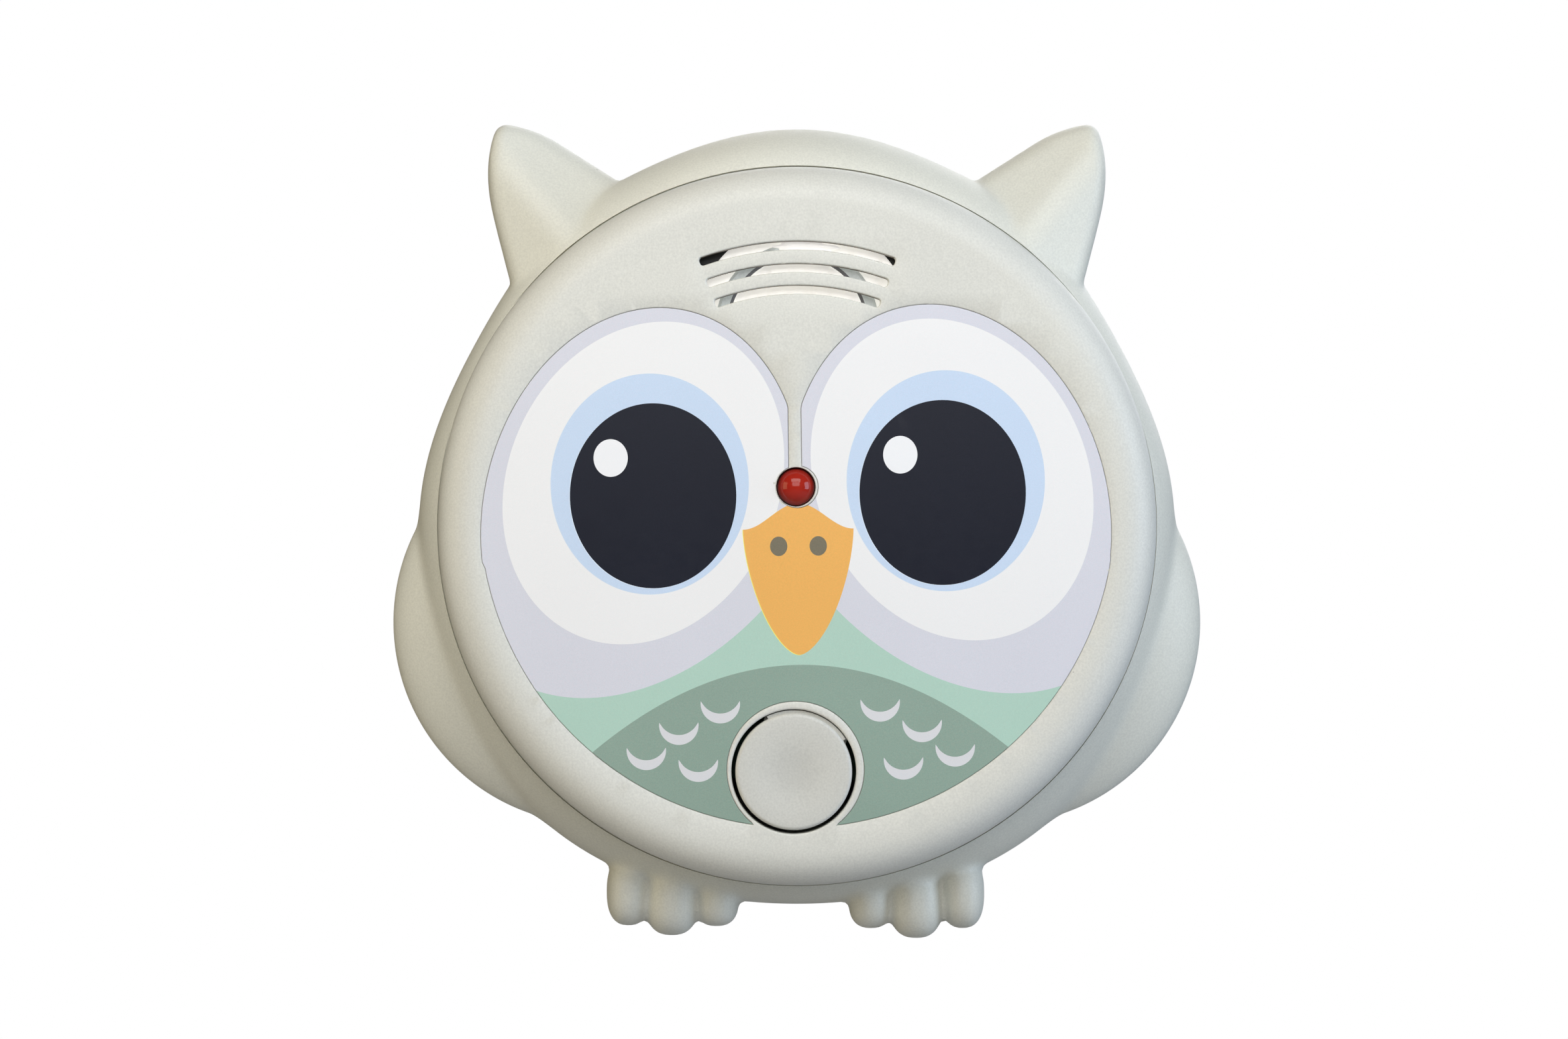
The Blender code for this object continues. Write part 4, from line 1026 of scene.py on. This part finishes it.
def net(distance, low, high, step):
    """Points and quads of the surface where distance is zero, one point in each grid cell it passes."""
    axes = [np.arange(a, b, step) for a, b in zip(low, high)]
    field = distance(*np.meshgrid(*axes, indexing="ij"))
    spots, cells = [], []
    for axis in range(3):
        count = field.shape[axis]
        first = np.take(field, range(count - 1), axis)
        second = np.take(field, range(1, count), axis)
        edge = np.argwhere((first < 0) != (second < 0))
        a, b = first[tuple(edge.T)], second[tuple(edge.T)]
        spot = edge.astype(float)
        spot[:, axis] += a / (a - b)
        u, v = (k for k in range(3) if k != axis)
        around = []
        for du, dv in ((0, 0), (1, 0), (1, 1), (0, 1)):
            cell = edge.copy()
            cell[:, u] -= du
            cell[:, v] -= dv
            around.append(np.ravel_multi_index(cell.T, field.shape))
        spots.append(spot)
        cells.append(np.stack(around, axis=1))
    spots, cells = np.concatenate(spots), np.concatenate(cells)
    _, quads = np.unique(cells, return_inverse=True)
    quads = quads.reshape(cells.shape)
    count = np.bincount(quads.ravel())
    points = [np.bincount(quads.ravel(), np.repeat(spots[:, k], 4)) / count for k in range(3)]
    return np.array(low) + np.stack(points, axis=1) * step, quads


def settle(points, distance, nudge=0.02, limit=0.3):
    """Move points along the slope of the distance until they lie on the surface."""
    for _ in range(5):
        slope = np.stack([(distance(*(points + step).T) - distance(*(points - step).T)) / (2 * nudge)
                          for step in np.eye(3) * nudge], axis=1)
        steep = np.maximum((slope ** 2).sum(axis=1), 0.05)
        move = (distance(*points.T) / steep)[:, None] * slope
        points = points - np.clip(move, -limit, limit)
    return points


def skin(name, distance, step, material, settled=True):
    """Closed mesh of the surface where a distance is zero, in the housing's box."""
    low, high = box("back_housing")
    margin = 3 * step + 1
    points, quads = net(distance, [v - margin for v in low], [v + margin for v in high], step)
    if settled:
        points = settle(points, distance)
    return add_mesh(name, points, quads.tolist(), [material], smooth_angle=0)


def carve(obj, tools, operation="DIFFERENCE"):
    """Cut or join closed meshes one after another, and keep only the result."""
    for tool in tools:
        mod = obj.modifiers.new("carve", "BOOLEAN")
        mod.operation = operation
        mod.solver = "MANIFOLD"
        mod.object = tool
        keep_result(obj)
        bpy.data.objects.remove(tool, do_unlink=True)
    return obj


def keep_result(obj):
    """Replace an object's mesh by what its modifiers make of it."""
    graph = bpy.context.evaluated_depsgraph_get()
    graph.update()
    mesh = bpy.data.meshes.new_from_object(obj.evaluated_get(graph))
    obj.modifiers.clear()
    obj.data = mesh


def soften(obj, width):
    """Round the sharp edges a little."""
    mod = obj.modifiers.new("soft_edges", "BEVEL")
    mod.width = width * MM
    mod.segments = 2
    mod.limit_method = "ANGLE"
    mod.angle_limit = math.radians(40)


def rod(centre, radius, y_front, y_back, material, segments=64, name="rod_tool"):
    """Round bar along Y, about a centre (x, z)."""
    profile = [(0, y_front), (radius, y_front), (radius, y_back), (0, y_back)]
    return turned(name, profile, [material], centre, segments)


def cross_rod(radius, x_low, x_high, material):
    """Round bar along X, on the battery door's hinge."""
    profile = [(0, x_low), (radius, x_low), (radius, x_high), (0, x_high)]
    return turned("cross_rod_tool", profile, [material], DOOR_HINGE, 32, axis="X")


def block(low, high, material):
    """Box between two corners."""
    outline = [(low[0], low[2]), (high[0], low[2]), (high[0], high[2]), (low[0], high[2])]
    return prism("block_tool", outline, low[1], high[1], material)


def sector(r_in, r_out, middle, width, y_front, y_back, material):
    """A stretch of a flat ring about the alarm's axis; angles in degrees."""
    return sector_about((0, 0), r_in, r_out, middle, width, y_front, y_back, material)


TAB_ANGLES = (90, 210, 330)
TAB_WIDTH = 16.0
RECESS_R = 48.3
RECESS_FLOOR_Y = -5.6
LIP_R = (44.6, 46.7)
LIP_Y = -27.0
BAY_X = 27.9
BAY_Z = 16.1
BAY_BOTTOM_Y = -22.6
BAY_WALL = 1.5
COVER_SCREW = 28.7
DOOR_HINGE = (-6.8, 15.0)


def build_housing(look):
    """Back shell: smooth skin with ears, wings and toes, hollow, recess, lugs, battery bay and bosses."""
    plastic = look["housing"]
    shell = skin("owl_back_shell", housing_distance, 0.6, plastic)
    carve(shell, [skin("hollow_tool", cavity_distance, 1.2, plastic, settled=False)])
    lip = [(LIP_R[0] - 1, LIP_Y), (LIP_R[1] - 0.3, LIP_Y), (LIP_R[1], LIP_Y + 0.3), (LIP_R[1], -23.2),
           (LIP_R[0] - 1, -23.2)]
    carve(shell, [turned("lip_tool", lip, [plastic], segments=200)], "UNION")
    seam = [(48.6, -30), (50.9, -30), (50.9, -22.1), (50.5, -22.5), (48.6, -22.9)]
    carve(shell, [turned("seam_tool", seam, [plastic], segments=240)])
    mouth = [(0, RECESS_FLOOR_Y), (RECESS_R, RECESS_FLOOR_Y), (RECESS_R, -1.7)]
    mouth += [(RECESS_R + 1.1 * (1 - math.cos(a)), -1.7 + 1.15 * math.sin(a))
              for a in np.radians((30, 60, 90))]
    mouth += [(RECESS_R + 1.2, 2), (0, 2)]
    carve(shell, [rod((0, 0), LIP_R[0], LIP_Y - 1, -18, plastic, 200),
                  turned("mouth_tool", mouth, [plastic], segments=200)])
    carve(shell, [sector(45.0, RECESS_R + 1, angle, TAB_WIDTH, -3.1, -1.2, plastic) for angle in TAB_ANGLES],
          "UNION")
    carve_bay(shell, plastic)
    shell.data.set_sharp_from_angle(angle=math.radians(38))
    stand_in(shell, "alarm", "housing_plastic", "back_housing")


def carve_bay(shell, plastic):
    """Battery bay with its walls, screw bosses and board pillars, and their bores."""
    floor_y = CAVITY_FLOOR_Y + 1
    walls = block((-BAY_X - BAY_WALL, BAY_BOTTOM_Y - 1.3, -BAY_Z - BAY_WALL),
                  (BAY_X + BAY_WALL, floor_y, BAY_Z + BAY_WALL), plastic)
    places = [(x, z) for x in (-COVER_SCREW, COVER_SCREW) for z in (-COVER_SCREW, COVER_SCREW)]
    pillars = [(-33.2, 0), (33.2, 0)]
    posts = [rod(place, 3.7, -23.2, floor_y, plastic) for place in places]
    posts += [rod(place, 2.9, -24.1, floor_y, plastic) for place in pillars]
    carve(shell, [walls] + posts, "UNION")
    bores = [rod(place, 1.8, -24, -5, plastic, 32) for place in places]
    bores += [rod(place, 3.1, -9.4, -5, plastic, 48) for place in places]
    bores += [rod(place, 1.4, -25, -14, plastic, 32) for place in pillars]
    bay = block((-BAY_X, BAY_BOTTOM_Y, -BAY_Z), (BAY_X, -5, BAY_Z + 0.3), plastic)
    notch = block((-5.6, -7.3, -19.2), (5.6, -5, -BAY_Z + 0.5), plastic)
    holes = cross_rod(0.95, -BAY_X - 1.3, BAY_X + 1.3, plastic)
    slits = [block((26.7, -25, z - 1.8), (27.7, -22, z + 1.8), plastic) for z in (-7.5, 7.5)]
    carve(shell, bores + [bay, notch, holes] + slits)


def build_wall_ring(look):
    """Wall ring with softened edges, bayonet tabs and keyhole slots."""
    plastic = look["ring"]
    inner, outer, thick, rim_y, rim_r = 33.0, 44.0, 2.6, -4.8, 34.6
    profile = [(inner, 0), (outer, 0), (outer, -thick), (rim_r, -thick), (rim_r, rim_y), (inner, rim_y)]
    ring = turned("wall_ring", profile, [plastic], segments=240)
    for angle in TAB_ANGLES:
        leg = sector(outer - 1.6, outer + 0.5, angle, TAB_WIDTH - 1, -5.1, -1.0, plastic)
        tab = sector(outer - 1.5, RECESS_R - 0.5, angle, TAB_WIDTH, -5.2, -3.5, plastic)
        carve(ring, [leg, tab], "UNION")
        middle, slot_r = angle + 60, (inner + outer) / 2 + 0.6
        slot = sector(slot_r - 2, slot_r + 2, middle, 26, -4, 1, plastic)
        keyhole = rod(arc((0, 0), slot_r, middle - 13, middle, 2)[0], 3.9, -4, 1, plastic, 64)
        round_end = rod(arc((0, 0), slot_r, middle + 13, middle, 2)[0], 2.0, -4, 1, plastic, 40)
        carve(ring, [slot, keyhole, round_end])
    soften(ring, 0.25)
    stand_in(ring, "wall_bracket", "ring_plastic", "mounting_ring")


# ---------------------------------------------------------------- batteries, door and small parts

def build_door(look):
    """Battery door with softened edges, hinge pins, latch tongue and grip grooves."""
    plastic = look["door"]
    low, high = box("battery_door")
    front, back = -7.7, -5.9
    hinge_y, hinge_z = DOOR_HINGE
    bar = rounded_bar(27.2, 15.65, 1.2)
    door = prism("bay_door", [(x, z - 0.05) for x, z in bar], front, back, plastic)
    carve(door, [cross_rod(0.6, low[0], high[0], plastic),
                 block((-5.2, -7.0, low[2]), (5.2, -5.95, -15.2), plastic)], "UNION")
    grooves = []
    for number in range(3):
        z = -11.5 + number * 2.0
        groove = [(x, z + 0.5 + u) for x, u in rounded_bar(6.0, 0.5, 0.45)]
        grooves.append(prism("groove_tool", groove, -6.3, -5, plastic))
    carve(door, grooves)
    soften(door, 0.18)
    place_origin(door, (0, hinge_y, hinge_z))
    stand_in(door, "door", "housing_plastic", "battery_door")


def place_origin(obj, origin):
    """Move an object's origin without moving its mesh."""
    shift = Vector([value * MM for value in origin]) - obj.location
    for vertex in obj.data.vertices:
        vertex.co -= shift
    obj.location += shift


def build_cells(look):
    """Two AA cells laid opposite ways: wrap with a plain pale band, steel ends and nub."""
    radius, length, band = 7.1, 50.5, (30, 31)
    for number, way in ((1, 1), (2, -1)):
        low, high = box(f"battery_{number}")
        start = low[0] if way > 0 else high[0]
        shape = [(0, 0.25), (4.4, 0.25), (4.6, 0), (6.3, 0), (6.6, 0.05), (6.95, 0.25), (radius, 0.6),
                 (radius, band[0]), (radius, band[1]), (radius, 48.2), (6.95, 48.7), (6.5, 48.95),
                 (5.6, 49.0), (5.4, 48.85), (3.2, 48.85), (2.9, 49.1), (2.75, 49.5), (2.75, 50.1),
                 (2.4, length), (0, length)]
        places = [0] * 4 + [1] * 3 + [2] * 2 + [1] * 3 + [0] * 7
        profile = [(r, start + way * along) for r, along in shape]
        cell = turned(f"aa_cell_{number}", profile, [look["steel"], look["wrap"], look["tan"]],
                      ((low[1] + high[1]) / 2, (low[2] + high[2]) / 2), 96, "X", places)
        stand_in(cell, "alarm", "cell_wrap", f"battery_{number}")


def build_springs(look):
    """Conical contact springs of round wire."""
    cell_y = -15.2
    for name, side, z in (("bridge_spring", -1, 7.5), ("negative_spring", 1, -7.5)):
        low, high = box(name)
        near, far = (high[0], low[0]) if side < 0 else (low[0], high[0])
        thick, turns = 0.3, 3
        near, far = near + side * thick, far - side * thick
        points = []
        for step in range(turns * 40 + 1):
            share = step / (turns * 40)
            angle, coil = 2 * math.pi * turns * share, 3.4 + 1.6 * share
            points.append((near + (far - near) * share, cell_y + coil * math.cos(angle),
                           z + coil * math.sin(angle)))
        piece = wire(f"{name}_wire", points, thick, look["steel"])
        stand_in(piece, "alarm", "steel", name)


def wire(name, points, radius, material):
    """Round wire along points, as a mesh."""
    curve = bpy.data.curves.new(name, "CURVE")
    curve.dimensions = "3D"
    curve.bevel_depth = radius * MM
    curve.bevel_resolution = 4
    curve.use_fill_caps = True
    spline = curve.splines.new("POLY")
    spline.points.add(len(points) - 1)
    for spot, point in zip(spline.points, points):
        spot.co = (*[value * MM for value in point], 1.0)
    shape = add_object(name + "_path", curve)
    mesh = bpy.data.meshes.new_from_object(shape)
    bpy.data.objects.remove(shape, do_unlink=True)
    mesh.materials.clear()
    mesh.materials.append(material)
    mesh.shade_smooth()
    return add_object(name, mesh)


def refine(node, material, slot, width):
    """Welded copy of one of the alarm's CAD nodes, with softened edges."""
    mesh = frame["nodes"][node].data.copy()
    mesh.materials.clear()
    mesh.materials.append(material)
    with editing(mesh) as bm:
        bmesh.ops.remove_doubles(bm, verts=bm.verts, dist=1e-6)
        bmesh.ops.dissolve_limit(bm, angle_limit=math.radians(1), verts=bm.verts, edges=bm.edges)
    mesh.shade_smooth()
    mesh.set_sharp_from_angle(angle=math.radians(40))
    obj = add_object(node + "_fine", mesh)
    soften(obj, width)
    stand_in(obj, "alarm", slot, node)


def dress_nodes(look):
    """Give every CAD node that stays its own material, and soften the ones that can be seen."""
    steel, black = (look["steel"], "steel"), (look["black"], "black_plastic")
    for corner in ("lower_left", "upper_left", "lower_right", "upper_right"):
        refine(f"cover_screw_{corner}", *steel, 0.12)
    for name in ("bridge_contact", "positive_contact", "negative_contact"):
        refine(name, *steel, 0.08)
    refine("microcontroller", *black, 0.1)
    refine("crystal", *steel, 0.2)
    refine("switch_body", *black, 0.12)
    kept = {
        "circuit_board": "board", "capacitor": "sleeve", "inductor": "ferrite", "resistor_1": "tan",
        "resistor_2": "tan", "switch_plunger": "black", "gas_cell": "steel",
        "gas_cell_filter": "white_plastic", "board_screw_left": "steel", "board_screw_right": "steel",
        "led_spacer": "black", "piezo_wafer": "ceramic", "sounder_wire_red": "wire_red",
        "sounder_wire_black": "wire_black",
    }
    for node, name in kept.items():
        slots = frame["nodes"][node].data.materials
        slots.clear()
        slots.append(look[name])


def main():
    make_camera()
    make_lights()
    make_world()
    make_stage()
    look = make_materials()
    bpy.context.scene.view_settings.view_transform = "Standard"
    build_cover(look)
    build_label(look)
    build_button(look)
    build_led(look)
    build_sounder(look)
    build_housing(look)
    build_wall_ring(look)
    build_door(look)
    build_cells(look)
    build_springs(look)
    dress_nodes(look)


main()
